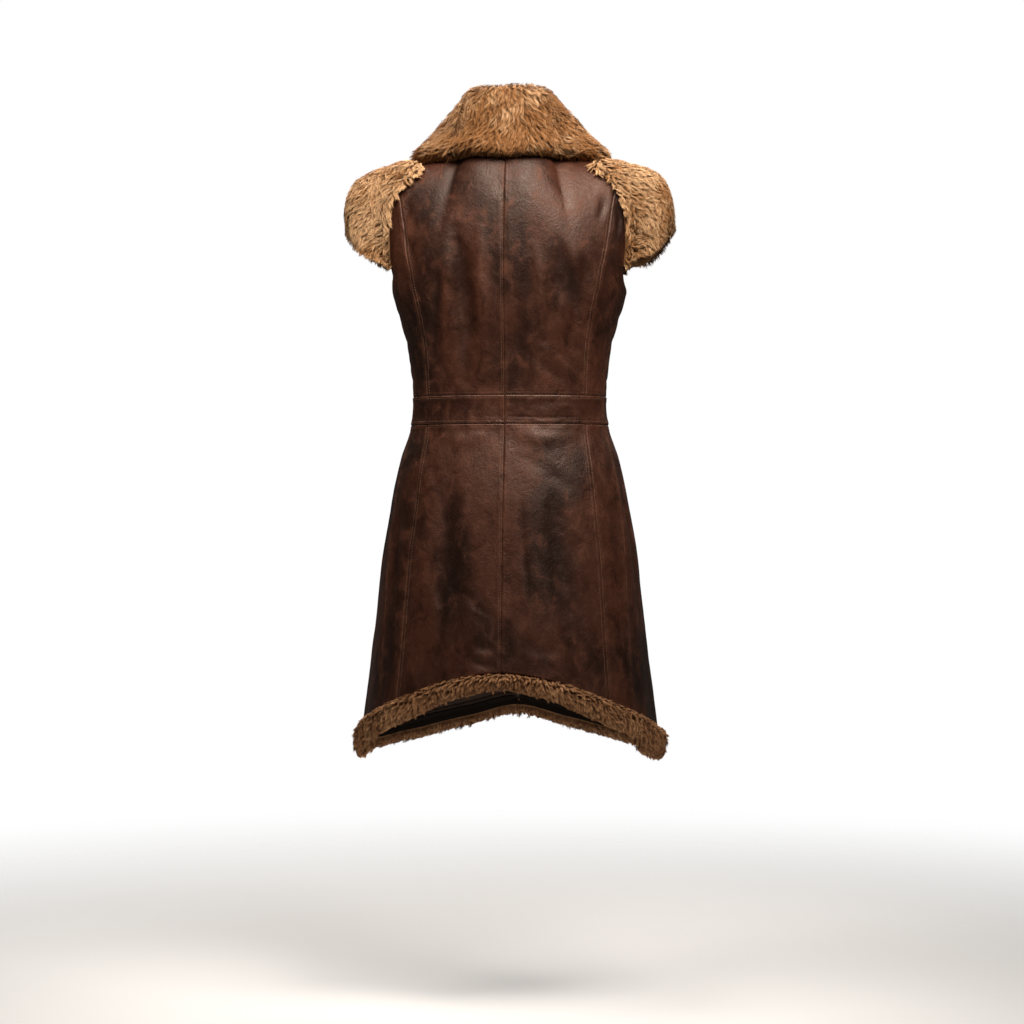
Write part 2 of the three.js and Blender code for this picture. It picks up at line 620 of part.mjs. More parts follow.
// The hem's fur: a soft band below the leather's edge, pinched where two strips are sewn together.
function hemStrip(name, edgeColumn, fromAngle, toAngle, sections) {
  const loops = [];
  for (let i = 0; i <= sections; i += 1) {
    const share = i / sections;
    const angle = THREE.MathUtils.lerp(fromAngle, toAngle, share);
    const top = hemHeight("leatherEdge", angle) - HEM_GAP;
    const bottom = hemHeight(edgeColumn, angle);
    const endFade = Math.min(share, 1 - share) * sections;
    const fullness = endFade < 1 ? HEM_END_FULLNESS : 1;
    const tuft = 1.6 * Math.sin(angle * 1.9) + 1.2 * Math.sin(angle * 3.3 + 1);
    const middle = (top + bottom) / 2;
    const centre = body(angle, middle);
    const out = outwards(angle, middle);
    const at = (far, height) => centre.clone().addScaledVector(out, far * fullness).setZ(height);
    const rise = (up) => THREE.MathUtils.lerp(bottom, top, up);
    loops.push([
      at(-4, top),
      at(4, top),
      at(HEM_FUR_OUTSIDE * 0.85 + tuft, rise(0.86)),
      at(HEM_FUR_OUTSIDE + tuft, rise(0.52)),
      at(HEM_FUR_OUTSIDE * 0.8 + tuft, rise(0.18)),
      at(3, bottom),
      at(-5, bottom + 2),
      at(-HEM_FUR_INSIDE, rise(0.24)),
      at(-HEM_FUR_INSIDE - 1, rise(0.6)),
      at(-HEM_FUR_INSIDE * 0.8, rise(0.88)),
    ]);
  }
  loft(name, HEM_FUR, loops);
}

function hemFur() {
  const sideSeam = seamAngle("sideAngle", HEM_SEAM_HEIGHT);
  const halfGap = 0.06; // degrees
  hemStrip("hem_fur_back", "backFurEdge", -sideSeam + halfGap, sideSeam - halfGap, 34);
  hemStrip("hem_fur_front_left", "frontFurEdge", sideSeam + halfGap, 180 - halfGap, 30);
  hemStrip("hem_fur_front_right", "frontFurEdge", -sideSeam - halfGap, -180 + halfGap, 30);
}

// The underside of a shoulder cap: it follows the yoke to the armhole's edge and then swells out over the arm.
// Out runs from 0 at the inner edge to 1 at the rim, and share from 0 at the back to 1 at the front.
function underCap(side, out, share) {
  const at = (column) => along(CAP, "along", share, column);
  const yoke = share <= 0.5 ? backYoke : frontYoke;
  const mirror = share <= 0.5 ? side : -side;
  const onYoke = (across, up) => {
    const { point, normal } = sample((u, v) => yoke(side, mirror * u, v), mirror * across, up);
    return point.addScaledVector(normal, CAP_CLEARANCE);
  };
  const inner = onYoke(at("innerAcross"), at("innerUp"));
  const middle = onYoke((at("innerAcross") + 1) / 2, (at("innerUp") + at("armholeUp")) / 2);
  const edge = onYoke(1, at("armholeUp"));
  const rim = new THREE.Vector3(side * at("rimX"), at("rimY"), at("rimZ"));
  const swollen = edge.clone().lerp(rim, 0.5);
  swollen.add(new THREE.Vector3(side * 0.8, 0, 0.9).multiplyScalar(at("swell")));
  const curve = new THREE.CatmullRomCurve3([inner, middle, edge, swollen, rim], false, "chordal");
  return curve.getPoint(THREE.MathUtils.clamp(out, 0, 1));
}

function shoulderCap(name, side) {
  const inset = (share) => THREE.MathUtils.lerp(CAP_EDGE, 1 - CAP_EDGE, share);
  const round = (share) => Math.sqrt(Math.sin(Math.PI * inset(share)));
  const grid = [];
  for (let i = 0; i <= CAP_STEPS.along; i += 1) {
    const row = [];
    for (let j = 0; j <= CAP_STEPS.out; j += 1) {
      const [share, out] = [i / CAP_STEPS.along, j / CAP_STEPS.out];
      const { point, normal } = sample((u, v) => underCap(side, u, v), out, share);
      const pile = CAP_THICKNESS * round(share) * round(out);
      row.push({ point, normal: normal.multiplyScalar(side), pile });
    }
    grid.push(row);
  }
  panel(name, COLLAR_FUR, grid, block(0, CAP_STEPS.along, 0, CAP_STEPS.out), CAP_THICKNESS, 0);
}

leatherPanels("left", 1);
leatherPanels("right", -1);
furCollar();
shoulderCap("shoulder_cap_left", 1);
shoulderCap("shoulder_cap_right", -1);
hemFur();

export default coat;
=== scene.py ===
# The dressed model of the sleeveless leather coat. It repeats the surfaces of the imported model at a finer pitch
# and adds what the solids leave out: creases, seams, stitches, the leather's finish and the fur's strands.
# Sizes are in millimetres up to the meshes, which are in metres. +Z is up and the front faces -Y.
import math

import bpy
import numpy as np
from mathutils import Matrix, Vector
from mathutils.kdtree import KDTree


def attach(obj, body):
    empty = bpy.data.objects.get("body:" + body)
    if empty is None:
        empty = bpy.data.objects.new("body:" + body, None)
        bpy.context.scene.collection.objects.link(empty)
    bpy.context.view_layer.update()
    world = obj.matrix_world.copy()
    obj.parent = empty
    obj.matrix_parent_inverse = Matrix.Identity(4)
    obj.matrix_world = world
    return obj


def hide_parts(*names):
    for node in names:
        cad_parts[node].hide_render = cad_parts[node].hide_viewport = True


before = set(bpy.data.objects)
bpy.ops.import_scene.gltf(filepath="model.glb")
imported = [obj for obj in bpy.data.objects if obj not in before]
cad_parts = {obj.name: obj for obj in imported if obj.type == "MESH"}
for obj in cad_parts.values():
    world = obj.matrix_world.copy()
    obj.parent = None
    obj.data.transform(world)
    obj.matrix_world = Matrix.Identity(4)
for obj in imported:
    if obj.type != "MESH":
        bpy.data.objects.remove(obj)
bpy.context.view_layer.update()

MM = 0.001
SEED = 7

# The camera of the photograph
CAMERA_AZIMUTH = 184.8
CAMERA_DISTANCE = 4.5
CAMERA_TARGET = (-0.0045, 0.0, -0.670)
FRAME_WIDTH = 1.8944  # metres across the picture at the target

# The leather's shape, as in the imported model
LEATHER_THICKNESS = 2
SEAM_GAP = 0.3
SEWN_CLEARANCE = 0.6
CAP_CLEARANCE = 0.9
FUR_CLEARANCE = 3
HEM_GAP = 0.9
WAISTBAND_RAISE = 1
WAISTBAND_TOP = -458
WAISTBAND_BOTTOM = -510
YOKE_HEIGHT = -235
UNDERARM_DROP = 26
ARMHOLE_BACK_ANGLE = 74
ARMHOLE_FRONT_ANGLE = 112
NECK_HALF_WIDTH = 78
NECK_BACK_DEPTH = 74
NECK_BACK_HEIGHT = -4
NECK_SHARE = 0.4
SHOULDER_TIP = np.array([200.0, 0.0, -42.0])
SHOULDER_NECK = np.array([78.0, 0.0, 2.0])
YOKE_LIFT = 70
BACK_REACH = {"middle": 44, "shoulder": 92}
BACK_DROP = {"middle": 40, "shoulder": 3}
BACK_SPREAD = 15
FRONT_REACH = {"neck": 98, "shoulder": 80}
FRONT_DROP = 3
FRONT_SPREAD = {"neck": 6, "shoulder": 2}
NECK_OPENING = 20
PRINCESS_TOP = 0.95
PRINCESS_BEND = 1.3
SIDE_SEAM_SET = 4
HEM_SEAM_HEIGHT = -1040
RUNS_TO_HEM = -1100


def table(columns, rows):
    values = np.array(rows, float)
    return {name: values[:, i] for i, name in enumerate(columns)}


RINGS = table(
    ("height", "half_width", "back_depth", "front_depth", "roundness"),
    [
        (-1145, 284, 212, 203, 2.05),
        (-1056, 273, 201, 194, 2.05),
        (-923, 256, 181, 177, 2.08),
        (-834, 246, 168, 167, 2.1),
        (-746, 236, 156, 157, 2.12),
        (-657, 220, 143, 147, 2.15),
        (-612, 211, 133, 141, 2.18),
        (-568, 200, 121, 134, 2.2),
        (-523, 185, 109, 127, 2.25),
        (-479, 178, 104, 123, 2.3),
        (-435, 180, 106, 124, 2.3),
        (-368, 188, 113, 127, 2.35),
        (-324, 199, 120, 130, 2.4),
        (-260, 217, 127, 132, 2.4),
        (-200, 221, 130, 133, 2.4),
    ],
)
SEAMS = table(
    ("height", "princess", "side"),
    [
        (-1145, 44.6, 57),
        (-888, 45.2, 61),
        (-747, 45.6, 65),
        (-646, 46.4, 69),
        (-559, 48, 72),
        (-490, 51.5, 75),
        (-403, 50.5, 78),
        (-293, 47.5, 82),
        (-235, 48.6, 84),
    ],
)
HEM = table(
    ("angle", "leather", "back_fur", "front_fur"),
    [
        (-20, -973, -1008, -1008),
        (0, -958, -988, -988),
        (20, -973, -1008, -1008),
        (40, -1003, -1047, -1047),
        (57, -1032, -1076, -1094),
        (72, -1053, -1100, -1116),
        (90, -1076, -1122, -1124),
        (110, -1074, -1118, -1118),
        (135, -1060, -1104, -1104),
        (160, -1040, -1083, -1083),
        (180, -1020, -1060, -1060),
        (200, -1040, -1083, -1083),
    ],
)
FOLDS = table(
    ("angle", "top", "bottom", "spread", "depth", "lean"),
    [
        (15, -150, -400, 4.5, -6, 0),
        (29, -70, -260, 10, 5, 0),
        (-29, -70, -270, 11, 6, 0),
        (-21, -190, -380, 4, -5, 1),
        (-37, -210, -390, 4, -4, 1),
        (8, -240, -440, 5, 3, 0),
        (27, -560, -1150, 7, -9, 0.5),
        (10, -600, -1150, 6, 4, 0),
        (-17, -620, -1150, 7, 5, 0),
        (-33, -680, -1150, 6, -6, 0),
        (50, -700, -1150, 6, 6, 0),
        (-55, -640, -1150, 7, 7, 0),
        (78, -560, -1150, 9, -6, 0),
        (-82, -560, -1150, 9, -6, 0),
        (108, -640, -1150, 9, 7, 0),
        (-110, -640, -1150, 9, 7, 0),
        (138, -600, -1150, 8, -8, 0),
        (-136, -620, -1150, 8, -7, 0),
        (160, -660, -1150, 8, 5, 0),
        (-162, -660, -1150, 8, 5, 0),
        (150, -180, -420, 9, 4, 0),
        (-152, -180, -420, 9, 4, 0),
    ],
)
BACK_COLLAR = table(
    ("along", "seam_across", "edge_across", "edge_up", "stand", "thickness"),
    [
        (0, 0, 0, 0.862, 104, 28),
        (0.25, 0.13, 0.17, 0.85, 103, 28),
        (0.5, 0.26, 0.43, 0.77, 101, 28),
        (0.75, 0.345, 0.64, 0.85, 96, 28),
        (1, NECK_SHARE, 0.87, 1, 90, 27),
    ],
)
FRONT_COLLAR = table(
    ("along", "seam_up", "edge_across", "edge_up", "stand", "thickness"),
    [
        (0, 1, 0.78, 1, 90, 27),
        (0.2, 0.9, 0.7, 0.84, 74, 28),
        (0.45, 0.7, 0.56, 0.62, 46, 29),
        (0.72, 0.4, 0.4, 0.36, 28, 28),
        (1, 0.06, 0.2, 0.03, 18, 22),
    ],
)
CAP = table(
    ("along", "inner_across", "inner_up", "armhole_up", "rim_x", "rim_y", "rim_z", "swell"),
    [
        (0, 0.95, 0.07, 0.06, 250, 66, -208, 4),
        (0.12, 0.95, 0.26, 0.22, 270, 64, -194, 10),
        (0.22, 0.94, 0.48, 0.42, 285, 54, -174, 16),
        (0.31, 0.87, 0.66, 0.6, 293, 40, -160, 22),
        (0.38, 0.73, 0.78, 0.75, 296, 25, -153, 26),
        (0.43, 0.78, 0.87, 0.87, 297, 10, -150, 28),
        (0.5, 0.94, 1, 1, 297, -8, -149, 28),
        (0.57, 0.84, 0.88, 0.87, 296, -26, -151, 28),
        (0.63, 0.8, 0.78, 0.75, 293, -42, -156, 26),
        (0.7, 0.86, 0.66, 0.6, 287, -58, -165, 22),
        (0.79, 0.93, 0.48, 0.42, 274, -74, -182, 16),
        (0.89, 0.95, 0.26, 0.22, 256, -84, -200, 10),
        (1, 0.95, 0.07, 0.06, 236, -84, -210, 4),
    ],
)
COLLAR_LEAN = 5
COLLAR_REST = 34
FLAT_STAND = 30
FULL_STAND = 70
COLLAR_RIM = 7
COLLAR_THROAT = 4
CAP_THICKNESS = 18
CAP_EDGE = 0.07
HEM_FUR_INSIDE = 11
HEM_FUR_OUTSIDE = 12
HEM_END_FULLNESS = 0.78

# Columns and rows of the leather's grid, counted from the centre back and from below
PRINCESS, ARMHOLE_BACK, SIDE, ARMHOLE_FRONT, FRONT = 8, 12, 15, 19, 29
BODICE_ROWS = 8
YOKE_ROWS = 10
PRINCESS_ROWS = 7
SKIRT_ROWS = 13
BAND_ROWS = 2
BLEND_HEIGHT = 28  # above the waistband the columns move over to the armhole's within this

# What is finer here
PITCH = {"back": 4.5, "front": 6.4, "rows": 5.2, "band": 2.2}
SEAM_STEPS = (0.7, 1.6, 2.8, 4.2, 5.6, 7.2, 9.6, 13)  # places beside a seam


def lerp(low, high, share):
    return low + (high - low) * share


def smooth(low, high, value):
    share = np.clip((value - low) / (high - low), 0, 1)
    return share * share * (3 - 2 * share)


def unit(vectors):
    return vectors / np.maximum(np.linalg.norm(vectors, axis=-1, keepdims=True), 1e-9)


def along(rows, key, place, column):
    """A column of a table at places between its rows, on a smooth curve through them."""
    keys, values = rows[key], rows[column]
    k = np.arange(len(keys))
    before, after = np.maximum(k - 1, 0), np.minimum(k + 1, len(keys) - 1)
    slope = (values[after] - values[before]) / (keys[after] - keys[before])
    place = np.asarray(place, float)
    i = np.searchsorted(keys[1:-1], place, side="left")
    span = keys[i + 1] - keys[i]
    p = np.clip((place - keys[i]) / span, 0, 1)
    rise = p * p * (3 - 2 * p)
    start = p * (1 - p) ** 2 * span * slope[i]
    end = -p * p * (1 - p) * span * slope[i + 1]
    return values[i] * (1 - rise) + values[i + 1] * rise + start + end


def hem_height(column, angle):
    return along(HEM, "angle", np.abs(angle), column)


def drape(angle, height):
    """How far the large folds move the leather outwards."""
    moved = 0.0
    for i in range(len(FOLDS["angle"])):
        fold = {name: FOLDS[name][i] for name in FOLDS}
        middle, reach = (fold["top"] + fold["bottom"]) / 2, (fold["top"] - fold["bottom"]) / 2
        strength = 1 - ((height - middle) / reach) ** 2
        if fold["bottom"] < RUNS_TO_HEM:
            strength = (fold["top"] - height) / (fold["top"] - fold["bottom"])
        off = (angle - fold["angle"] - fold["lean"] * (fold["top"] - height) * 0.01) / fold["spread"]
        moved = moved + fold["depth"] * np.clip(strength, 0, 1) * np.exp(-off * off)
    return moved


def ring_point(angle, height):
    angle, height = np.broadcast_arrays(np.asarray(angle, float), np.asarray(height, float))
    power = 2 / along(RINGS, "height", height, "roundness")
    sideways, backwards = np.sin(np.radians(angle)), np.cos(np.radians(angle))
    width = along(RINGS, "height", height, "half_width")
    back, front = (along(RINGS, "height", height, c) for c in ("back_depth", "front_depth"))
    x = width * np.sign(sideways) * np.abs(sideways) ** power
    y = np.where(backwards > 0, back, front) * np.sign(backwards) * np.abs(backwards) ** power
    return np.stack([x, y, height], -1)


def outwards(angle, height):
    point = ring_point(angle, height)
    width = along(RINGS, "height", point[..., 2], "half_width")
    back, front = (along(RINGS, "height", point[..., 2], c) for c in ("back_depth", "front_depth"))
    depth = np.where(point[..., 1] > 0, back, front)
    flat = np.stack([point[..., 0] / width**2, point[..., 1] / depth**2, 0 * width], -1)
    return unit(flat)


def body(angle, height):
    return ring_point(angle, height) + outwards(angle, height) * np.asarray(drape(angle, height))[..., None]


def bezier(points, share):
    share = np.asarray(share, float)[..., None]
    rest = 1 - share
    weights = (rest**3, 3 * rest * rest * share, 3 * rest * share * share, share**3)
    return sum(point * weight for point, weight in zip(points, weights))


def lifted(angle):
    step = 10
    base = ring_point(angle, YOKE_HEIGHT)
    return base + (base - ring_point(angle, YOKE_HEIGHT - step)) * YOKE_LIFT / step


def vector(x, y, z):
    return np.stack(np.broadcast_arrays(np.asarray(x, float), y, z), -1)


def draped_yoke(points, angle, up):
    point = bezier(points, up)
    moved = np.asarray(drape(angle, point[..., 2]) * (1 - up))[..., None]
    return point + outwards(angle, YOKE_HEIGHT) * moved


def back_yoke(side, across, up):
    """The back above the yoke height: across is 1 at the armhole, up is 1 at the neck and the shoulder seam."""
    angle = side * across * ARMHOLE_BACK_ANGLE
    turn = np.minimum(across / NECK_SHARE, 1) * math.pi / 2
    seam_share = np.maximum(0, (across - NECK_SHARE) / (1 - NECK_SHARE))[..., None]
    shoulder = lerp(SHOULDER_NECK, SHOULDER_TIP, seam_share)
    height = lerp(NECK_BACK_HEIGHT, SHOULDER_NECK[2], 1 - np.cos(turn))
    neck = vector(NECK_HALF_WIDTH * np.sin(turn), NECK_BACK_DEPTH * np.cos(turn), height)
    top = np.where((across < NECK_SHARE)[..., None], neck, shoulder)
    reach = lerp(BACK_REACH["middle"], BACK_REACH["shoulder"], np.minimum(2 * across, 1))
    drop = lerp(BACK_DROP["middle"], BACK_DROP["shoulder"], np.minimum(across / NECK_SHARE, 1))
    spread = BACK_SPREAD * across * across
    mirror = np.array([side, 1, 1])
    handle = (top + vector(spread, reach, -drop)) * mirror
    bulge = vector(side * spread, 0, 0)
    return draped_yoke([ring_point(angle, YOKE_HEIGHT), lifted(angle) + bulge, handle, top * mirror], angle, up)


def front_yoke(side, across, up):
    """The front above the yoke height: across is 0 at the neckline and 1 at the armhole."""
    angle = side * (180 - across * (180 - ARMHOLE_FRONT_ANGLE))
    top = lerp(SHOULDER_NECK, SHOULDER_TIP, np.asarray(across)[..., None])
    reach = lerp(FRONT_REACH["neck"], FRONT_REACH["shoulder"], across)
    spread = lerp(FRONT_SPREAD["neck"], FRONT_SPREAD["shoulder"], across)
    mirror = np.array([side, 1, 1])
    handle = (top + vector(spread, -reach, -FRONT_DROP)) * mirror
    openness = vector(side * NECK_OPENING * (1 - across), 0, 0)
    return draped_yoke([ring_point(angle, YOKE_HEIGHT), lifted(angle) + openness, handle, top * mirror], angle, up)


def sample(surface, u, v):
    """A surface's points and normals away from the wearer."""
    step = 0.001
    u, v = np.broadcast_arrays(np.asarray(u, float), np.asarray(v, float))
    across_step = surface(u + step, v) - surface(u - step, v)
    up_step = surface(u, v + step) - surface(u, v - step)
    return surface(u, v), unit(np.cross(up_step, across_step))


def on_yoke(side, front, across, up):
    if front:
        return sample(lambda u, v: front_yoke(side, -side * u, v), -side * np.asarray(across, float), up)
    return sample(lambda u, v: back_yoke(side, side * u, v), side * np.asarray(across, float), up)


def column_angle(column, height):
    """The angle of a grid column at a height."""
    column, height = np.broadcast_arrays(np.asarray(column, float), np.asarray(height, float))
    princess = along(SEAMS, "height", height, "princess")
    side = along(SEAMS, "height", height, "side")
    share = np.clip((height - WAISTBAND_TOP) / BLEND_HEIGHT, 0, 1)
    armhole = lerp(lerp(princess, side, (ARMHOLE_BACK - PRINCESS) / (SIDE - PRINCESS)), ARMHOLE_BACK_ANGLE, share)
    side = lerp(side, np.maximum(side, ARMHOLE_BACK_ANGLE + SIDE_SEAM_SET), share)
    stops = (0, PRINCESS, ARMHOLE_BACK, SIDE, ARMHOLE_FRONT, FRONT)
    angles = (0 * side, princess, armhole, side, 0 * side + ARMHOLE_FRONT_ANGLE, 0 * side + 180)
    found = 0 * side
    for i in range(len(stops) - 1):
        here = (column >= stops[i]) & (column <= stops[i + 1])
        share = (column - stops[i]) / (stops[i + 1] - stops[i])
        found = np.where(here, lerp(angles[i], angles[i + 1], share), found)
    return found


def bodice_top(column):
    middle = (ARMHOLE_BACK_ANGLE + ARMHOLE_FRONT_ANGLE) / 2
    half = (ARMHOLE_FRONT_ANGLE - ARMHOLE_BACK_ANGLE) / 2
    off = (column_angle(column, YOKE_HEIGHT) - middle) / half
    return YOKE_HEIGHT - UNDERARM_DROP * np.sqrt(np.maximum(0, 1 - off * off))


def ring_rows(side, columns, heights):
    return sample(body, side * column_angle(columns[None, :], heights), heights)


def bodice_grid(side, columns, rows):
    """Points and normals of the bodice at places of its grid; the arms' gap is left as zeros."""
    points = np.zeros((len(rows), len(columns), 3))
    normals = np.zeros_like(points)
    low = rows <= BODICE_ROWS
    heights = lerp(WAISTBAND_TOP, bodice_top(columns)[None, :], rows[low][:, None] / BODICE_ROWS)
    points[low], normals[low] = ring_rows(side, columns, heights)
    high = ~low
    step = rows[high][:, None] - BODICE_ROWS
    up = step / YOKE_ROWS
    start = along(SEAMS, "height", YOKE_HEIGHT, "princess") / ARMHOLE_BACK_ANGLE
    princess = lerp(start, PRINCESS_TOP, np.minimum(step / PRINCESS_ROWS, 1) ** PRINCESS_BEND)
    for front in (False, True):
        chosen = columns >= ARMHOLE_FRONT if front else columns <= ARMHOLE_BACK
        column = columns[chosen][None, :]
        if front:
            across = (FRONT - column) / (FRONT - ARMHOLE_FRONT) + 0 * step
        else:
            outer = (column - PRINCESS) / (ARMHOLE_BACK - PRINCESS)
            inner = princess * column / PRINCESS
            across = np.where(outer > 0, princess + (1 - princess) * outer, inner)
        where = np.ix_(high, chosen)
        points[where], normals[where] = on_yoke(side, front, across, up)
    return points, normals


def band_grid(side, columns, rows):
    heights = lerp(WAISTBAND_BOTTOM, WAISTBAND_TOP, rows[:, None] / BAND_ROWS) + 0 * columns[None, :]
    return ring_rows(side, columns, heights)


def skirt_grid(side, columns, rows):
    hem = hem_height("leather", column_angle(columns, HEM_SEAM_HEIGHT))
    heights = lerp(hem[None, :], WAISTBAND_BOTTOM, rows[:, None] / SKIRT_ROWS)
    return ring_rows(side, columns, heights)


# Noise and creases


def lattice(cell, seed):
    mixed = (cell[..., 0] * 374761393 + cell[..., 1] * 668265263 + cell[..., 2] * 2147483629 + seed * 974634777)
    mixed = mixed & 0xFFFFFFFF
    mixed = ((mixed ^ (mixed >> 13)) * 1274126177) & 0xFFFFFFFF
    return ((mixed ^ (mixed >> 16)) & 0xFFFF) / 32767.5 - 1


def waves(points, size, seed):
    """Smooth noise from -1 to 1 with bumps about as wide as size, which may differ by axis."""
    place = np.asarray(points) / np.asarray(size, float) + 1000
    base = np.floor(place).astype(np.int64)
    part = place - base
    part = part * part * (3 - 2 * part)
    total = 0.0
    for corner in np.ndindex(2, 2, 2):
        offset = np.array(corner)
        weight = np.prod(np.where(offset == 1, part, 1 - part), axis=-1)
        total = total + weight * lattice(base + offset, seed)
    return total


# Creases seen from one side: the width and depth of the trough, or of the ridge where the depth is positive,
# and its line as places across and up. Across is x on the back and the front, and y on the sides.
CREASES = [
    # back bodice
    ("back", 17, -10, [(88, -160), (82, -230), (74, -320), (72, -430)]),
    ("back", 14, 5, [(46, -160), (42, -230), (34, -340)]),
    ("back", 10, -5, [(122, -225), (126, -300), (134, -380)]),
    ("back", 15, -8.5, [(-98, -186), (-112, -240), (-130, -320)]),
    ("back", 8, -3.0, [(-142, -198), (-148, -232), (-150, -276)]),
    ("back", 13, 4.0, [(-56, -190), (-66, -250), (-80, -330)]),
    ("back", 10, -2.6, [(-24, -260), (-30, -330), (-22, -400)]),
    ("back", 6, -3.0, [(-172, -92), (-176, -120), (-170, -146)]),
    ("back", 5, -2.6, [(-190, -90), (-206, -130), (-200, -172)]),
    ("back", 5, -2.6, [(176, -112), (188, -140), (184, -172)]),
    ("back", 6, -2.4, [(196, -150), (176, -190), (160, -240)]),
    ("back", 7, -2.0, [(-14, -24), (-44, -20), (-74, -24)]),
    ("back", 9, 2.0, [(-40, -352), (-92, -392), (-146, -436)]),
    ("back", 8, -1.8, [(-30, -376), (-74, -408), (-116, -446)]),
    ("back", 8, -1.6, [(-104, -352), (-132, -376), (-156, -410)]),
    ("back", 9, -1.6, [(150, -360), (124, -396), (104, -440)]),
    # waistband
    ("back", 2.2, -1.5, [(4, -499), (-70, -499), (-144, -499)]),
    ("back", 9, 0.9, [(-40, -482), (-90, -484), (-140, -482)]),
    # back skirt
    ("back", 15, 3.6, [(-14, -526), (-64, -536), (-120, -530)]),
    ("back", 13, -1.5, [(-20, -566), (-74, -590), (-130, -630)]),
    ("back", 13, 2.2, [(30, -528), (70, -540), (108, -534)]),
    ("back", 5, -1.7, [(98, -806), (66, -818), (44, -838), (10, -858)]),
    ("back", 8, -3.0, [(110, -760), (112, -860), (116, -950)]),
    ("back", 7, -2.4, [(160, -515), (164, -620), (170, -726)]),
    ("back", 6, -2.6, [(56, -934), (34, -942), (12, -944)]),
    ("back", 7, 2.4, [(60, -920), (36, -928), (14, -930)]),
    ("back", 20, -6, [(-86, -610), (-98, -720), (-116, -880)]),
    ("back", 22, -6, [(96, -600), (102, -740), (92, -890)]),
    ("back", 7, -2.4, [(-30, -640), (-36, -740), (-46, -820)]),
    ("back", 8, -2.6, [(-120, -690), (-130, -800), (-140, -900)]),
    ("back", 7, -2.2, [(-180, -560), (-196, -680), (-206, -800)]),
    ("back", 9, -1.5, [(-30, -890), (-64, -915), (-110, -925)]),
    ("back", 7, -2.4, [(186, -640), (200, -760), (212, -860)]),
    ("back", 10, -1.2, [(146, -565), (122, -620), (104, -690)]),
    # sides
    ("left", 8, -1.6, [(40, -296), (4, -312), (-40, -300)]),
    ("left", 8, -1.4, [(56, -340), (10, -362), (-44, -350)]),
    ("left", 7, -1.4, [(44, -420), (0, -434), (-50, -424)]),
    ("left", 9, -3.4, [(30, -560), (26, -700), (34, -860)]),
    ("left", 8, -3.0, [(-40, -600), (-52, -760), (-62, -930)]),
    ("right", 8, -1.6, [(44, -298), (0, -316), (-44, -304)]),
    ("right", 8, -1.4, [(50, -346), (4, -360), (-50, -344)]),
    ("right", 7, -1.4, [(40, -416), (-8, -430), (-56, -420)]),
    ("right", 9, -3.4, [(36, -550), (30, -720), (40, -890)]),
    ("right", 8, -3.0, [(-36, -620), (-48, -770), (-66, -950)]),
    # front
    ("front", 7, -3.0, [(70, -250), (96, -300), (110, -360)]),
    ("front", 7, -3.0, [(-76, -246), (-98, -304), (-106, -370)]),
    ("front", 6, -2.4, [(150, -262), (120, -300), (84, -316)]),
    ("front", 6, -2.4, [(-154, -268), (-122, -296), (-80, -322)]),
    ("front", 5, -2.2, [(30, -410), (70, -424), (118, -416)]),
    ("front", 5, -2.2, [(-34, -418), (-78, -428), (-120, -412)]),
    ("front", 9, -3.2, [(60, -560), (66, -700), (80, -880)]),
    ("front", 9, -3.2, [(-66, -570), (-76, -720), (-86, -900)]),
    ("front", 8, -2.8, [(140, -600), (150, -760), (168, -940)]),
    ("front", 8, -2.8, [(-136, -590), (-152, -740), (-170, -920)]),
    ("front", 6, -2.2, [(24, -640), (30, -760), (26, -900)]),
    ("front", 6, -2.2, [(-26, -660), (-24, -780), (-34, -930)]),
]
FACES = {"back": (0, 1, 1), "front": (0, 1, -1), "left": (1, 0, 1), "right": (1, 0, -1)}  # across, facing, sign


def creases(points, normals):
    """How far the listed creases lift the leather."""
    lift = np.zeros(len(points))
    sway = np.stack([waves(points, 34, SEED + i) for i in range(3)], -1)
    for face, width, depth, line in CREASES:
        across, facing, sign = FACES[face]
        weight = smooth(0.05, 0.4, sign * normals[:, facing])
        line = np.array(line, float)
        reach = 3.2 * width
        low, high = line.min(0) - reach, line.max(0) + reach
        place = (points + min(5, 0.7 * width) * sway)[:, (across, 2)]
        near = np.flatnonzero((weight > 0) & (place > low).all(1) & (place < high).all(1))
        if not len(near):
            continue
        place = place[near]
        steps = np.linalg.norm(np.diff(line, axis=0), axis=1)
        best = np.full(len(near), 1e9)
        share = np.zeros(len(near))
        for i in range(len(line) - 1):
            way = line[i + 1] - line[i]
            t = np.clip(((place - line[i]) @ way) / (way @ way), 0, 1)
            off = np.linalg.norm(place - line[i] - t[:, None] * way, axis=1)
            closer = off < best
            best = np.where(closer, off, best)
            share = np.where(closer, (steps[:i].sum() + t * steps[i]) / steps.sum(), share)
        q = (best / (width * (0.75 + 0.45 * np.sin(math.pi * share)))) ** 2
        profile = (1 - 0.6 * q) * np.exp(-q / 1.2)
        lift[near] += weight[near] * depth * profile * np.sin(math.pi * np.clip(share, 0.04, 0.96)) ** 0.7
    return lift


def relief(points, normals, distance):
    """How far creases and swells lift both faces of the leather, by how far a seam is."""
    fold = creases(points, normals)
    swell = 0.9 * waves(points, 62, SEED + 11) + 0.55 * waves(points, (26, 26, 60), SEED + 12)
    swell = swell + 0.2 * waves(points, 12, SEED + 13)
    return fold, fold + swell * smooth(0, 12, distance)


def seam_profile(distance):
    """The outer face beside a seam: it rolls in at the seam, and stands up where the allowance lies under it."""
    roll = -0.6 * np.exp(-((distance / 1.1) ** 2))
    allowance = 0.5 * smooth(0.8, 2.6, distance) * (1 - smooth(7, 11, distance))
    thread = -0.4 * np.exp(-(((distance - STITCH_SET) / 1.1) ** 2))
    return roll + allowance + thread


STITCH_SET = 5.2
STITCH_STEP = 5.0
STITCH_LENGTH = 3.6
STITCH_RADIUS = 0.42


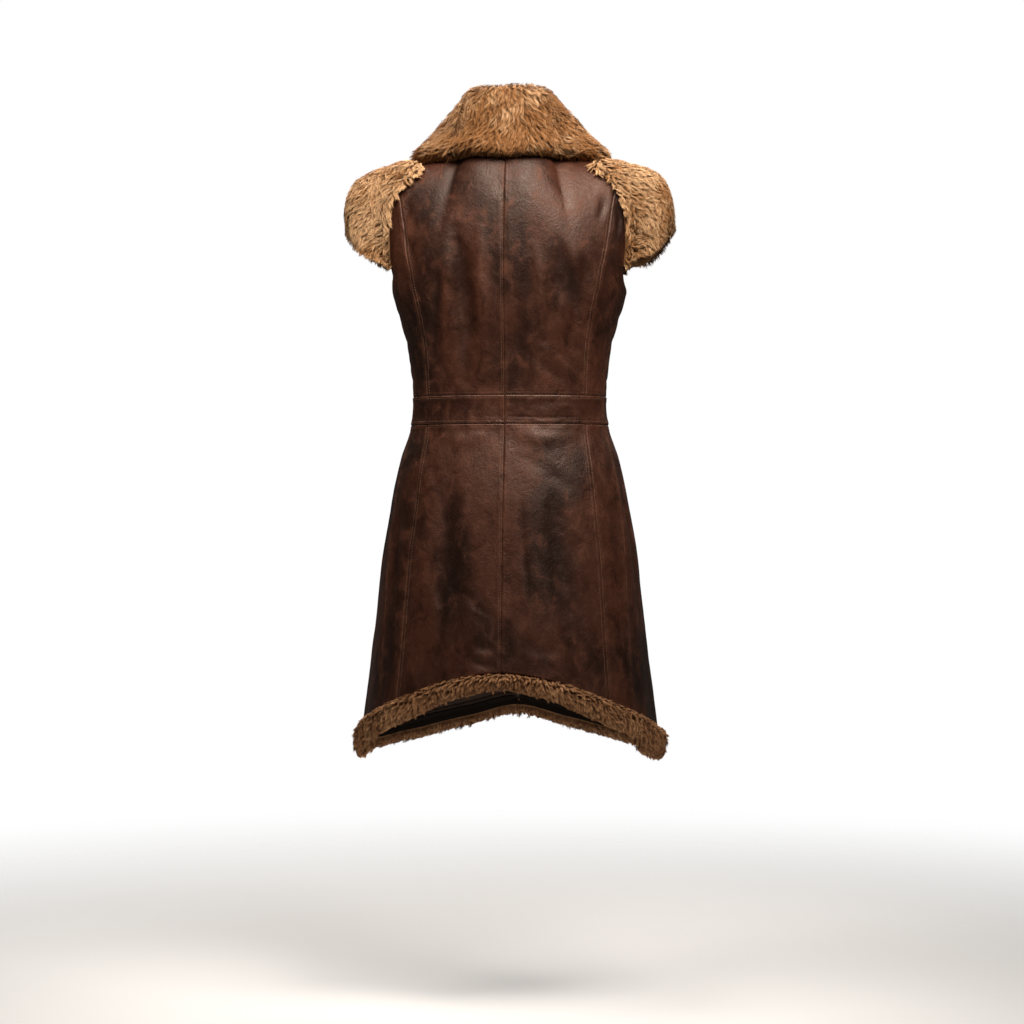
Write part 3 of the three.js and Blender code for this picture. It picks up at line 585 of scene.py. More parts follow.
def places(row, stops):
    """Places between stops, which are (place, whether a seam is there, pitch up to the next), dense at seams."""
    fine = np.linspace(stops[0][0], stops[-1][0], 600)
    path = row(fine)
    lengths = np.concatenate([[0], np.cumsum(np.linalg.norm(np.diff(path, axis=0), axis=1))])
    found = []
    for (start, seam, pitch), (end, end_seam, _) in zip(stops, stops[1:]):
        low, high = np.interp([start, end], fine, lengths)
        steps = np.array([s for s in SEAM_STEPS if s < (high - low) * 0.4])
        first = low + steps if seam else np.array([low])
        last = high - steps[::-1] if end_seam else np.array([high])
        count = max(1, round((last[0] - first[-1]) / pitch))
        marks = np.concatenate([[low], first, np.linspace(first[-1], last[0], count + 1), last, [high]])
        marks = np.unique(np.round(marks, 6))
        inside = np.interp(marks, lengths, fine)
        inside[0], inside[-1] = start, end
        found += list(inside[:-1])
    return np.array([*found, stops[-1][0]])


def mesh_object(name, points, faces, materials, face_material=None, loops_uv=None):
    """A smooth mesh in metres from points in millimetres and faces, each an array of corners."""
    mesh = bpy.data.meshes.new(name)
    corners = np.concatenate([f.ravel() for f in faces]).astype(np.int32)
    sizes = np.concatenate([np.full(len(f), f.shape[1]) for f in faces]).astype(np.int32)
    mesh.vertices.add(len(points))
    mesh.vertices.foreach_set("co", (np.asarray(points) * MM).astype(np.float32).ravel())
    mesh.loops.add(len(corners))
    mesh.loops.foreach_set("vertex_index", corners)
    mesh.polygons.add(len(sizes))
    mesh.polygons.foreach_set("loop_start", (np.cumsum(sizes) - sizes).astype(np.int32))
    mesh.polygons.foreach_set("use_smooth", np.ones(len(sizes), bool))
    if face_material is not None:
        mesh.polygons.foreach_set("material_index", np.asarray(face_material, np.int32))
    for material in materials:
        mesh.materials.append(material)
    if loops_uv is not None:
        layer = mesh.uv_layers.new(name="OFBake")
        layer.data.foreach_set("uv", np.asarray(loops_uv, np.float32).ravel())
    mesh.update(calc_edges=True)
    mesh.validate()
    piece = bpy.data.objects.new(name, mesh)
    bpy.context.scene.collection.objects.link(piece)
    return piece


def attribute(piece, name, values):
    layer = piece.data.attributes.new(name, "FLOAT", "POINT")
    layer.data.foreach_set("value", np.asarray(values, np.float32))


def shell_faces(cells, side):
    """Corners of a wall over some cells of a grid: numbers of its nodes, the outer and inner faces, the rim."""
    rows, columns = cells.shape
    used = np.zeros((rows + 1, columns + 1), bool)
    for down, left in ((0, 0), (1, 0), (0, 1), (1, 1)):
        used[down : down + rows, left : left + columns] |= cells
    number = np.full(used.shape, -1)
    number[used] = np.arange(used.sum())
    r, c = np.nonzero(cells)
    ring = [number[r, c], number[r + 1, c], number[r + 1, c + 1], number[r, c + 1]]
    padded = np.pad(cells, 1)
    beside = ((0, -1), (1, 0), (0, 1), (-1, 0))
    rim = []
    for i, (down, left) in enumerate(beside):
        free = ~padded[r + 1 + down, c + 1 + left]
        rim.append(np.stack([ring[(i + 1) % 4][free], ring[i][free]], -1))
    outer = np.stack(ring, -1)
    rim = np.concatenate(rim)
    count = int(used.sum())
    quads = [outer, outer[:, ::-1] + count, np.stack([rim[:, 0], rim[:, 1], rim[:, 1] + count, rim[:, 0] + count], -1)]
    if side < 0:
        quads = [q[:, ::-1] for q in quads]
    return used, quads, rim


def boundary_distance(points, rim, pitch=0.5):
    """How far each point is from the rim's line."""
    ends = points[rim]
    spots = []
    for a, b in ends:
        count = max(1, int(np.linalg.norm(b - a) / pitch))
        spots.append(a + (b - a) * (np.arange(count)[:, None] / count))
    spots = np.concatenate(spots)
    tree = KDTree(len(spots))
    for i, spot in enumerate(spots):
        tree.insert(spot, i)
    tree.balance()
    return np.array([tree.find(p)[2] for p in points])


def pull_in(points, cells, used):
    """Moves the grid's nodes on the panel's outline in by half the seam's gap."""
    moved = points.copy()
    padded = np.pad(cells, 1)
    below_left, below_right = padded[:-1, :-1], padded[:-1, 1:]
    above_left, above_right = padded[1:, :-1], padded[1:, 1:]
    ups = (above_left | above_right).astype(int) - (below_left | below_right)
    rights = (below_right | above_right).astype(int) - (below_left | above_left)
    for steps, axis in ((ups, 0), (rights, 1)):
        for sign in (1, -1):
            r, c = np.nonzero(used & (steps == sign))
            other = points[r + sign, c] if axis == 0 else points[r, c + sign]
            moved[r, c] += unit(other - points[r, c]) * SEAM_GAP / 2
    return moved


def leather_panel(name, side, grid, columns, rows, blocks, raised, materials):
    points, normals = grid
    cells = np.zeros((len(rows) - 1, len(columns) - 1), bool)
    for low, high, first, last in blocks:
        in_rows = (rows[:-1] >= low - 1e-6) & (rows[1:] <= high + 1e-6)
        in_columns = (columns[:-1] >= first - 1e-6) & (columns[1:] <= last + 1e-6)
        cells |= in_rows[:, None] & in_columns[None, :]
    used, quads, rim = shell_faces(cells, side)
    base, normal = pull_in(points, cells, used)[used], normals[used]
    distance = boundary_distance(base, rim)
    fold, bend = relief(base, normal, distance)
    pucker = 0.7 * waves(base, 10, SEED + 14) * np.exp(-((distance / 13) ** 2))
    outer = base + normal * (raised + bend + pucker * smooth(0, 3, distance) + seam_profile(distance))[:, None]
    inner = base + normal * (raised - LEATHER_THICKNESS + bend + 0.4 * np.exp(-((distance / 1.5) ** 2)))[:, None]

    wide = np.linalg.norm(np.diff(points, axis=1), axis=-1)
    tall_steps = np.linalg.norm(np.diff(points, axis=0), axis=-1)
    u = np.concatenate([[0], np.cumsum(np.where(cells.any(0), wide[:-1].mean(0), 0))])
    v = np.concatenate([[0], np.cumsum(np.where(cells.any(1), tall_steps[:, :-1].mean(1), 0))])
    u_grid, v_grid = np.broadcast_arrays(u[None, :], v[:, None])
    margin = 8
    scale = 1 / max(2 * u[-1] + 3 * margin, v[-1] + 2 * margin)
    left = np.stack([u_grid[used] + margin, v_grid[used] + margin], -1) * scale
    right = left + np.array([(u[-1] + margin) * scale, 0])
    count = len(base)
    flat_uv = np.concatenate([left, right])
    uv = np.concatenate([flat_uv[quads[0]].reshape(-1, 2), flat_uv[quads[1]].reshape(-1, 2),
                         flat_uv[quads[2] % count].reshape(-1, 2)])
    kinds = np.concatenate([np.zeros(len(quads[0])), np.ones(len(quads[1])), np.zeros(len(quads[2]))])
    piece = mesh_object(name, np.concatenate([outer, inner]), quads, materials, kinds, uv)
    worn = 0.6 * np.exp(-(((distance - 1.2) / 1.1) ** 2)) + 0.3 * np.exp(-(((distance - STITCH_SET) / 0.9) ** 2))
    worn = worn + 0.08 * np.exp(-distance / 14) + 0.06 * np.clip(bend, 0, 4)
    # Darker in the creases' troughs, which is painted shade, and in a thin dark line at each seam's edge.
    painted_crease_shade_and_dark_seam = np.clip(-fold / 10, 0, 0.6) + 0.6 * np.exp(-((distance / 0.8) ** 2))
    attribute(piece, "worn", np.tile(np.clip(worn, 0, 1), 2))
    attribute(piece, "painted_crease_shade_and_dark_seam", np.tile(np.clip(painted_crease_shade_and_dark_seam, 0, 1), 2))
    full = np.zeros(points.shape)
    full[used] = outer
    return piece, full, normals, cells


# Materials


class Graph:
    """A material's nodes, with short ways to add and join them."""

    def __init__(self, name):
        self.material = bpy.data.materials.new(name)
        self.material.use_nodes = True
        self.tree = self.material.node_tree
        self.shader = next(n for n in self.tree.nodes if n.type == "BSDF_PRINCIPLED")

    def set(self, node, inputs):
        for key, value in inputs.items():
            socket = node.inputs[key]
            if isinstance(value, bpy.types.NodeSocket):
                self.tree.links.new(value, socket)
            else:
                socket.default_value = value

    def add(self, kind, inputs=None, output=0, **settings):
        node = self.tree.nodes.new(kind)
        for key, value in settings.items():
            setattr(node, key, value)
        self.set(node, inputs or {})
        return node.outputs[output]

    def math(self, operation, a, b=0.0, clamp=False):
        return self.add("ShaderNodeMath", {0: a, 1: b}, operation=operation, use_clamp=clamp)

    def span(self, value, low, high, to_low=0.0, to_high=1.0):
        return self.add("ShaderNodeMapRange", {0: value, 1: low, 2: high, 3: to_low, 4: to_high},
                        interpolation_type="SMOOTHSTEP")

    def mix(self, share, a, b, blend="MIX"):
        return self.add("ShaderNodeMix", {0: share, 6: a, 7: b}, output=2, data_type="RGBA", blend_type=blend)

    def noise(self, vector, scale, detail=3.0, roughness=0.55, distortion=0.0):
        return self.add("ShaderNodeTexNoise", {"Vector": vector, "Scale": scale, "Detail": detail,
                                               "Roughness": roughness, "Distortion": distortion})

    def bump(self, height, distance, strength=1.0, normal=None):
        inputs = {"Height": height, "Distance": distance, "Strength": strength}
        if normal is not None:
            inputs["Normal"] = normal
        return self.add("ShaderNodeBump", inputs)


def leather_material(name, dark, middle, red, gloss):
    g = Graph(name)
    place = g.add("ShaderNodeTexCoord", output=3)
    stretched = g.add("ShaderNodeMapping", {"Vector": place, "Scale": (1.0, 1.0, 0.75)})
    tall = g.add("ShaderNodeMapping", {"Vector": place, "Scale": (1.0, 1.0, 0.45)})
    worn = g.add("ShaderNodeAttribute", output=2, attribute_name="worn")
    painted_crease_shade_and_dark_seam = g.add("ShaderNodeAttribute", output=2, attribute_name="painted_crease_shade_and_dark_seam")
    clouds = g.noise(tall, 9.0, 2.0, 0.45, 0.4)
    mottle = g.noise(stretched, 38.0, 4.0, 0.62, 0.6)
    specks = g.noise(place, 420.0, 3.0, 0.6)
    base = g.mix(g.span(clouds, 0.35, 0.62, 0.14, 1), dark, middle)
    base = g.mix(g.span(mottle, 0.50, 0.72, 0, 0.6), base, red)
    base = g.mix(g.span(mottle, 0.48, 0.28, 0, 0.6), base, dark)
    base = g.mix(g.span(specks, 0.55, 0.75, 0, 0.16), base, (0.10, 0.045, 0.025, 1))
    rubbed = g.math("MULTIPLY", worn, g.span(mottle, 0.30, 0.62, 0.3, 1.0), clamp=True)
    base = g.mix(g.math("MULTIPLY", rubbed, 0.7), base, (0.14, 0.055, 0.030, 1))
    scuff = g.span(g.noise(place, 26.0, 6.0, 0.75, 1.2), 0.60, 0.74, 0, 0.22)
    base = g.mix(scuff, base, (0.090, 0.044, 0.028, 1))
    # Painted shade: the creases' troughs go towards near-black, and each seam's edge gets a thin dark line.
    base = g.mix(g.math("MULTIPLY", painted_crease_shade_and_dark_seam, 0.8), base, (0.008, 0.004, 0.003, 1))
    grain = g.add("ShaderNodeTexVoronoi", {"Vector": place, "Scale": 620.0, "Randomness": 1.0},
                  feature="SMOOTH_F1")
    rough = g.math("ADD", g.span(mottle, 0.3, 0.7, gloss - 0.05, gloss + 0.10), g.math("MULTIPLY", scuff, 0.22))
    rough = g.math("ADD", rough, g.span(specks, 0.3, 0.7, -0.03, 0.05))
    soft = g.bump(g.noise(stretched, 75.0, 3.0, 0.55, 1.0), 0.0014, 0.55)
    wrinkled = g.bump(g.noise(stretched, 230.0, 4.0, 0.62, 0.4), 0.0008, 0.7, soft)
    lying = g.add("ShaderNodeMapping", {"Vector": place, "Scale": (1.0, 1.0, 1.7)})
    veins = g.math("ABSOLUTE", g.math("SUBTRACT", g.noise(lying, 44.0, 4.0, 0.6, 0.2), 0.5))
    veins = g.math("MULTIPLY", g.span(veins, 0.0, 0.07, 1, 0), g.span(clouds, 0.40, 0.62, 0.3, 1))
    base = g.mix(g.math("MULTIPLY", veins, 0.14), base, dark)
    creased = g.bump(veins, -0.0004, 0.2, wrinkled)
    fine = g.bump(grain, 0.0003, 0.45, creased)
    g.set(g.shader, {"Base Color": base, "Roughness": rough, "Normal": fine, "Specular IOR Level": 0.32,
                     "Specular Tint": (1.0, 0.72, 0.60, 1)})
    return g.material


def suede_material():
    g = Graph("leather_inside")
    place = g.add("ShaderNodeTexCoord", output=3)
    clouds = g.noise(place, 22.0, 5.0, 0.65, 0.4)
    nap = g.noise(place, 900.0, 2.0, 0.6)
    base = g.mix(g.span(clouds, 0.35, 0.68), (0.028, 0.016, 0.011, 1), (0.062, 0.036, 0.024, 1))
    base = g.mix(g.span(nap, 0.45, 0.7, 0, 0.3), base, (0.10, 0.062, 0.042, 1))
    g.set(g.shader, {"Base Color": base, "Roughness": g.span(nap, 0.3, 0.7, 0.82, 0.95),
                     "Normal": g.bump(nap, 0.0004, 0.5), "Specular IOR Level": 0.25, "Sheen Weight": 0.15})
    return g.material


def thread_material():
    g = Graph("thread")
    place = g.add("ShaderNodeTexCoord", output=3)
    twist = g.add("ShaderNodeTexWave", {"Vector": place, "Scale": 900.0, "Distortion": 1.0}, output=1)
    shade = g.noise(place, 70.0, 2.0)
    base = g.mix(g.span(shade, 0.35, 0.65), (0.060, 0.028, 0.016, 1), (0.135, 0.066, 0.036, 1))
    g.set(g.shader, {"Base Color": base, "Roughness": 0.62, "Normal": g.bump(twist, 0.0002, 0.4)})
    return g.material


def fur_material(name, dark, light, hide):
    """Colour from the strands' own map: across is the lock's tone and up runs from root to tip. The dark root end is
    partly the fur's own darker base and partly painted shade deep in the pile.
    """
    g = Graph(name)
    split = g.add("ShaderNodeSeparateXYZ", {0: g.add("ShaderNodeUVMap", uv_map="OFBake")})
    up = split.node.outputs[1]
    ramps = []
    for colours in (dark, light):
        ramp = g.tree.nodes.new("ShaderNodeValToRGB")
        stops = ramp.color_ramp.elements
        for place, colour in zip((0.0, 0.3, 0.7, 1.0), colours):
            stop = stops[0] if place == 0.0 else stops[1] if place == 1.0 else stops.new(place)
            stop.position = place
            stop.color = (*colour, 1)
        g.tree.links.new(up, ramp.inputs[0])
        ramps.append(ramp.outputs[0])
    base = g.mix(g.span(split, 0.05, 0.85), *ramps)
    # Past 0.93 across the colour is the hide's; the hem's hide colour is near-black painted shade.
    base = g.mix(g.math("GREATER_THAN", split, 0.93), base, (*hide, 1))
    g.set(g.shader, {"Base Color": base, "Roughness": 0.8, "Specular IOR Level": 0.12})
    return g.material


LEATHER = leather_material("leather", (0.0060, 0.0022, 0.0014, 1), (0.044, 0.0136, 0.0070, 1),
                           (0.082, 0.0260, 0.0130, 1), 0.43)
BAND_LEATHER = leather_material("waistband_leather", (0.0065, 0.0024, 0.0015, 1), (0.038, 0.0115, 0.0060, 1),
                                (0.076, 0.0235, 0.0112, 1), 0.41)
INSIDE = suede_material()
THREAD = thread_material()
COLLAR_FUR = fur_material(
    "collar_fur",
    [(0.034, 0.0105, 0.0028), (0.110, 0.0380, 0.0105), (0.260, 0.100, 0.029), (0.430, 0.185, 0.062)],
    [(0.090, 0.0300, 0.0095), (0.320, 0.1290, 0.0430), (0.650, 0.325, 0.130), (0.900, 0.560, 0.290)],
    (0.10, 0.062, 0.04),
)
HEM_FUR = fur_material(
    "hem_fur",
    [(0.055, 0.0200, 0.0075), (0.190, 0.0760, 0.0290), (0.420, 0.185, 0.076), (0.620, 0.305, 0.140)],
    [(0.120, 0.0460, 0.0175), (0.380, 0.1620, 0.0640), (0.740, 0.360, 0.160), (0.950, 0.540, 0.265)],
    # The hem fur's hide colour is near-black: painted shade on the strip's inside.
    (0.010, 0.006, 0.004),
)


# The leather

# Each panel's blocks of the grid, and the size and area that it was cut to, in metres.
PANELS = {
    "back_bodice": ("bodice", 0, [(0, 18, 0, 8), (15, 18, 8, 12)], (0.25, 0.515), 0.089),
    "side_bodice": ("bodice", 0, [(0, 15, 8, 12), (0, 8, 12, 15)], (0.097, 0.402), 0.0223),
    "front_bodice": ("bodice", 0, [(0, 8, 15, 19), (0, 18, 19, 29)], (0.322, 0.53), 0.11),
    "waistband_back": ("band", WAISTBAND_RAISE, [(0, 2, 0, 15)], (0.201, 0.052), None),
    "waistband_front": ("band", WAISTBAND_RAISE, [(0, 2, 15, 29)], (0.284, 0.052), None),
    "skirt_back": ("skirt", 0, [(0, 13, 0, 8)], (0.208, 0.508), 0.0844),
    "skirt_side": ("skirt", 0, [(0, 13, 8, 15)], (0.064, 0.534), 0.0303),
    "skirt_front": ("skirt", 0, [(0, 13, 15, 29)], (0.503, 0.577), 0.218),
}
GRIDS = {
    "bodice": (bodice_grid, [(0, 1), (PRINCESS, 1), (ARMHOLE_BACK, 0), (SIDE, 1), (ARMHOLE_FRONT, 0), (FRONT, 1)],
               [(0, 1), (BODICE_ROWS, 0), (BODICE_ROWS + PRINCESS_ROWS, 0), (BODICE_ROWS + YOKE_ROWS, 1)]),
    "band": (band_grid, [(0, 1), (SIDE, 1), (FRONT, 1)], [(0, 1), (BAND_ROWS, 1)]),
    "skirt": (skirt_grid, [(0, 1), (PRINCESS, 1), (SIDE, 1), (FRONT, 1)], [(0, 0), (SKIRT_ROWS, 1)]),
}
# Topstitched lines: the panel, its side or both, whether the line runs up a column or along a row, that column
# or row, and which way the panel lies from it.
STITCHED = [
    ("back_bodice", ("left",), "column", 0, 1),
    ("back_bodice", ("left", "right"), "column", PRINCESS, -1),
    ("side_bodice", ("left", "right"), "row", BODICE_ROWS, -1),
    ("front_bodice", ("left", "right"), "row", BODICE_ROWS, -1),
    ("front_bodice", ("left", "right"), "column", FRONT, -1),
    ("waistband_back", ("left", "right"), "row", 0, 1),
    ("waistband_back", ("left", "right"), "row", BAND_ROWS, -1),
    ("waistband_front", ("left", "right"), "row", 0, 1),
    ("waistband_front", ("left", "right"), "row", BAND_ROWS, -1),
    ("waistband_front", ("left", "right"), "column", FRONT, -1),
    ("skirt_back", ("left",), "column", 0, 1),
    ("skirt_back", ("left", "right"), "column", PRINCESS, -1),
    ("skirt_front", ("left", "right"), "column", FRONT, -1),
]


def stitch_line(outer, normals, cells, axis, index, inward):
    """Points and normals along a line of thread that runs beside an edge of a panel."""
    if axis == "row":
        outer, normals, cells = outer.transpose(1, 0, 2), normals.transpose(1, 0, 2), cells.T
    beside, beyond = (index, index - 1) if inward > 0 else (index - 1, index)
    edge = cells[:, beside].copy()
    if 0 <= beyond < cells.shape[1]:
        edge &= ~cells[:, beyond]
    found = []
    rows = np.flatnonzero(edge)
    for r in [*rows, rows[-1] + 1]:
        walk = index + inward * np.arange(8)
        walk = walk[(walk >= 0) & (walk < outer.shape[1])]
        path = outer[r, walk]
        length = np.concatenate([[0], np.cumsum(np.linalg.norm(np.diff(path, axis=0), axis=1))])
        spot = [np.interp(STITCH_SET, length, path[:, k]) for k in range(3)]
        found.append((spot, normals[r, index]))
    return np.array([f[0] for f in found]), np.array([f[1] for f in found])


def stitches(name, lines):
    """Short rounded stitches in one mesh along every line."""
    rings = ((-0.5, 0.35, -0.45), (-0.34, 1.0, 0.1), (0.34, 1.0, 0.1), (0.5, 0.35, -0.45))
    sides = 4
    centres, ways, ups = [], [], []
    for points, normals in lines:
        lengths = np.concatenate([[0], np.cumsum(np.linalg.norm(np.diff(points, axis=0), axis=1))])
        marks = np.arange(STITCH_STEP, lengths[-1] - STITCH_STEP, STITCH_STEP)
        at = np.stack([np.interp(marks, lengths, points[:, k]) for k in range(3)], -1)
        ahead = np.stack([np.interp(marks + 1, lengths, points[:, k]) for k in range(3)], -1)
        centres.append(at)
        ways.append(unit(ahead - at))
        ups.append(unit(np.stack([np.interp(marks, lengths, normals[:, k]) for k in range(3)], -1)))
    centre, way, up = (np.concatenate(x) for x in (centres, ways, ups))
    across = unit(np.cross(way, up))
    up = np.cross(across, way)
    turn = np.arange(sides) * 2 * math.pi / sides
    points = []
    for place, size, rise in rings:
        middle = centre + way * place * STITCH_LENGTH + up * rise * STITCH_RADIUS
        for angle in turn:
            reach = STITCH_RADIUS * size
            points.append(middle + across * math.cos(angle) * reach + up * math.sin(angle) * reach * 0.8)
    points = np.stack(points, 1)
    quads = []
    for ring in range(len(rings) - 1):
        for k in range(sides):
            a, b = ring * sides + k, ring * sides + (k + 1) % sides
            quads.append((a, a + sides, b + sides, b))
    ends = [tuple(range(sides)), tuple(reversed(range(3 * sides, 4 * sides)))]
    first = np.arange(len(centre))[:, None, None] * len(rings) * sides
    faces = [(first + np.array(quads)).reshape(-1, 4), (first + np.array(ends)).reshape(-1, sides)]
    return mesh_object(name, points.reshape(-1, 3), faces, [THREAD])


TAPE_LINES = {
    "bodice": [("column", 0, 0, 18), ("column", PRINCESS, 0, 15), ("column", SIDE, 0, BODICE_ROWS),
               ("column", FRONT, 0, 16), ("row", 0, 0, FRONT)],
    "band": [("column", 0, 0, BAND_ROWS), ("column", SIDE, 0, BAND_ROWS), ("column", FRONT, 0, BAND_ROWS),
             ("row", 0, 0, FRONT)],
    "skirt": [("column", 0, 0, SKIRT_ROWS), ("column", PRINCESS, 0, SKIRT_ROWS), ("column", SIDE, 0, SKIRT_ROWS),
              ("column", FRONT, 0, SKIRT_ROWS), ("row", 0, 0, FRONT)],
}
TAPE = [(-5, -2.15), (0, -2.15), (5, -2.15), (5, -2.9), (0, -2.9), (-5, -2.9)]
TAPE_STEP = 8


def tape(points, normals):
    """A flat strip behind a seam, which holds its two edges together on the inside."""
    way = unit(np.gradient(points, axis=0))
    across = unit(np.cross(way, normals))
    loops = []
    for aside, depth in TAPE:
        place = points + across * aside
        bend = relief(place, normals, np.full(len(place), abs(aside)))[1]
        loops.append(place + normals * (bend + depth)[:, None])
    return np.stack(loops, 1)


def build_tapes():
    points, faces, total = [], [[], []], 0
    for side in (1, -1):
        for form, lines in TAPE_LINES.items():
            make = GRIDS[form][0]
            for axis, stop, start, end in lines:
                if side < 0 and axis == "column" and stop in (0, FRONT):
                    continue
                fine = np.linspace(start, end, 200)
                at = np.array([float(stop)])
                spots, normals = make(side, at, fine) if axis == "column" else make(side, fine, at)
                spots, normals = spots.reshape(-1, 3), normals.reshape(-1, 3)
                lengths = np.concatenate([[0], np.cumsum(np.linalg.norm(np.diff(spots, axis=0), axis=1))])
                marks = np.linspace(0, lengths[-1], max(4, round(lengths[-1] / TAPE_STEP)))
                line = [np.stack([np.interp(marks, lengths, x[:, k]) for k in range(3)], -1)
                        for x in (spots, normals)]
                loops = tape(line[0], unit(line[1]))
                its_points, its_faces = loft_faces(loops)
                points.append(its_points)
                for kind, more in zip(faces, its_faces):
                    kind.append(more + total)
                total += len(its_points)
    piece = mesh_object("seam_tapes", np.concatenate(points), [np.concatenate(f) for f in faces], [INSIDE])
    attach(piece, "root")


def build_leather():
    thread = {"bodice": [], "band": [], "skirt": []}
    for side_name, side in (("left", 1), ("right", -1)):
        for form, (make, column_stops, row_stops) in GRIDS.items():
            middle = row_stops[-1][0] * 0.25
            stops = [(c, s, PITCH["back" if c < SIDE else "front"]) for c, s in column_stops]
            columns = places(lambda c: make(side, c, np.array([middle]))[0][0], stops)
            stops = [(r, s, PITCH["band" if form == "band" else "rows"]) for r, s in row_stops]
            rows = places(lambda r: make(side, np.array([2.0]), r)[0][:, 0], stops)
            grid = make(side, columns, rows)
            for kind, (its_form, raised, blocks, flat, area) in PANELS.items():
                if its_form != form:
                    continue
                name = f"{kind}_{side_name}"
                skins = [BAND_LEATHER if form == "band" else LEATHER, INSIDE]
                piece, outer, normals, cells = leather_panel(
                    f"{name}_leather", side, grid, columns, rows, blocks, raised, skins
                )
                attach(piece, "root")
                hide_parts(name)
                for panel, its_sides, axis, stop, inward in STITCHED:
                    if panel != kind or side_name not in its_sides:
                        continue
                    marks = columns if axis == "column" else rows
                    index = int(np.argmin(np.abs(marks - stop)))
                    thread[form].append(stitch_line(outer, normals, cells, axis, index, inward))
    for form, lines in thread.items():
        piece = stitches(f"topstitching_{form}", lines)
        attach(piece, "root")


# Fur


def catmull(points, pieces, closed=False):
    """A smooth line through points, along their second axis, cut into pieces between them."""
    if closed:
        run = np.concatenate([points[:, -1:], points, points[:, :2]], 1)
    else:
        first, last = 2 * points[:, :1] - points[:, 1:2], 2 * points[:, -1:] - points[:, -2:-1]
        run = np.concatenate([first, points, last], 1)
    made = []
    for i in range(run.shape[1] - 3):
        a, b, c, d = (run[:, i + k] for k in range(4))
        for step in range(pieces):
            t = step / pieces
            made.append(0.5 * (2 * b + (c - a) * t + (2 * a - 5 * b + 4 * c - d) * t**2
                               + (3 * b - a - 3 * c + d) * t**3))
    if not closed:
        made.append(points[:, -1])
    return np.stack(made, 1)


def collar_sections(side, front, share):
    """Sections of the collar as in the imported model, 16 points each."""
    rows = FRONT_COLLAR if front else BACK_COLLAR
    at = {name: along(rows, "along", share, name) for name in rows}
    seam = (0 * share, at["seam_up"]) if front else (at["seam_across"], 1 + 0 * share)
    edge = (at["edge_across"], at["edge_up"])

    def on_leather(place, clearance=FUR_CLEARANCE):
        point, normal = on_yoke(side, front, lerp(seam[0], edge[0], place), lerp(seam[1], edge[1], place))
        return point + normal * clearance, normal

    foot = on_leather(0, SEWN_CLEARANCE)[0]
    tip, tip_normal = on_leather(1)
    width = np.linalg.norm(tip - foot, axis=-1)
    up = np.array([0.0, 0.0, 1.0])
    outward = unit(tip - foot)
    level = unit(outward * np.array([1, 1, 0]))
    thickness = at["thickness"][:, None]
    layer = thickness / 2
    top = foot + up * at["stand"][:, None] - level * COLLAR_LEAN
    top_outer = top + level * layer
    top_inner = top - level * layer * 0.8
    rim = tip + tip_normal * thickness * 0.45 + outward * COLLAR_RIM
    shoulder = tip + tip_normal * thickness * 0.92

    def face(place, swell):
        return lerp(shoulder, top_outer, place) + level * swell

    stand_share = np.minimum(0.3, layer[:, 0] / width)
    rest_share = np.maximum(0.62, 1 - COLLAR_REST / width)
    openness = smooth(FLAT_STAND, FULL_STAND, at["stand"])[:, None]

    def between(place, raised):
        point, normal = on_leather(lerp(stand_share, rest_share, place))
        return lerp(point + normal, raised, openness)

    stand_back = on_leather(stand_share, SEWN_CLEARANCE)[0]
    fold = top - up * layer + level
    fall_back = face(0.3, 0) - level * layer * 1.35
    inside = lerp(top_inner, foot, 0.55) - level * COLLAR_THROAT
    ring = [foot, stand_back, between(0.3, lerp(stand_back, fold, 0.55)), between(0.5, fold),
            between(0.7, fall_back), on_leather(rest_share)[0], on_leather((1 + rest_share) / 2)[0], tip, rim,
            shoulder, face(0.3, -3), face(0.62, 1), top_outer, top + up * layer * 0.55, top_inner, inside]
    return np.stack(ring, 1)


COLLAR_TIP = 7  # the section's point at the outer edge on the leather
COLLAR_STEPS = {"back": 54, "front": 50, "fur": 6, "skin": 2}


def collar_form():
    """The collar's sections from one front end to the other, with the fur's side and the skin's side apart."""
    halves = []
    for side in (1, -1):
        back = collar_sections(side, False, np.linspace(0, 1, COLLAR_STEPS["back"] + 1))
        front = collar_sections(side, True, np.linspace(0, 1, COLLAR_STEPS["front"] + 1)[1:])
        halves.append(np.concatenate([back, front]))
    sections = np.concatenate([halves[0][::-1], halves[1][1:]])
    fur = catmull(np.concatenate([sections[:, COLLAR_TIP:], sections[:, :1]], 1), COLLAR_STEPS["fur"])
    skin = sections[:, : COLLAR_TIP + 1]
    between = [lerp(skin[:, i], skin[:, i + 1], k / COLLAR_STEPS["skin"])
               for i in range(COLLAR_TIP) for k in range(COLLAR_STEPS["skin"])]
    return fur, np.stack(between[1:], 1)


def surface_normals(points, closed=False):
    """Normals of a grid of points, to the side of its second axis crossed with its first."""
    first = np.gradient(points, axis=0)
    if closed:
        second = np.roll(points, -1, 1) - np.roll(points, 1, 1)
    else:
        second = np.gradient(points, axis=1)
    return unit(np.cross(second, first)), unit(second)


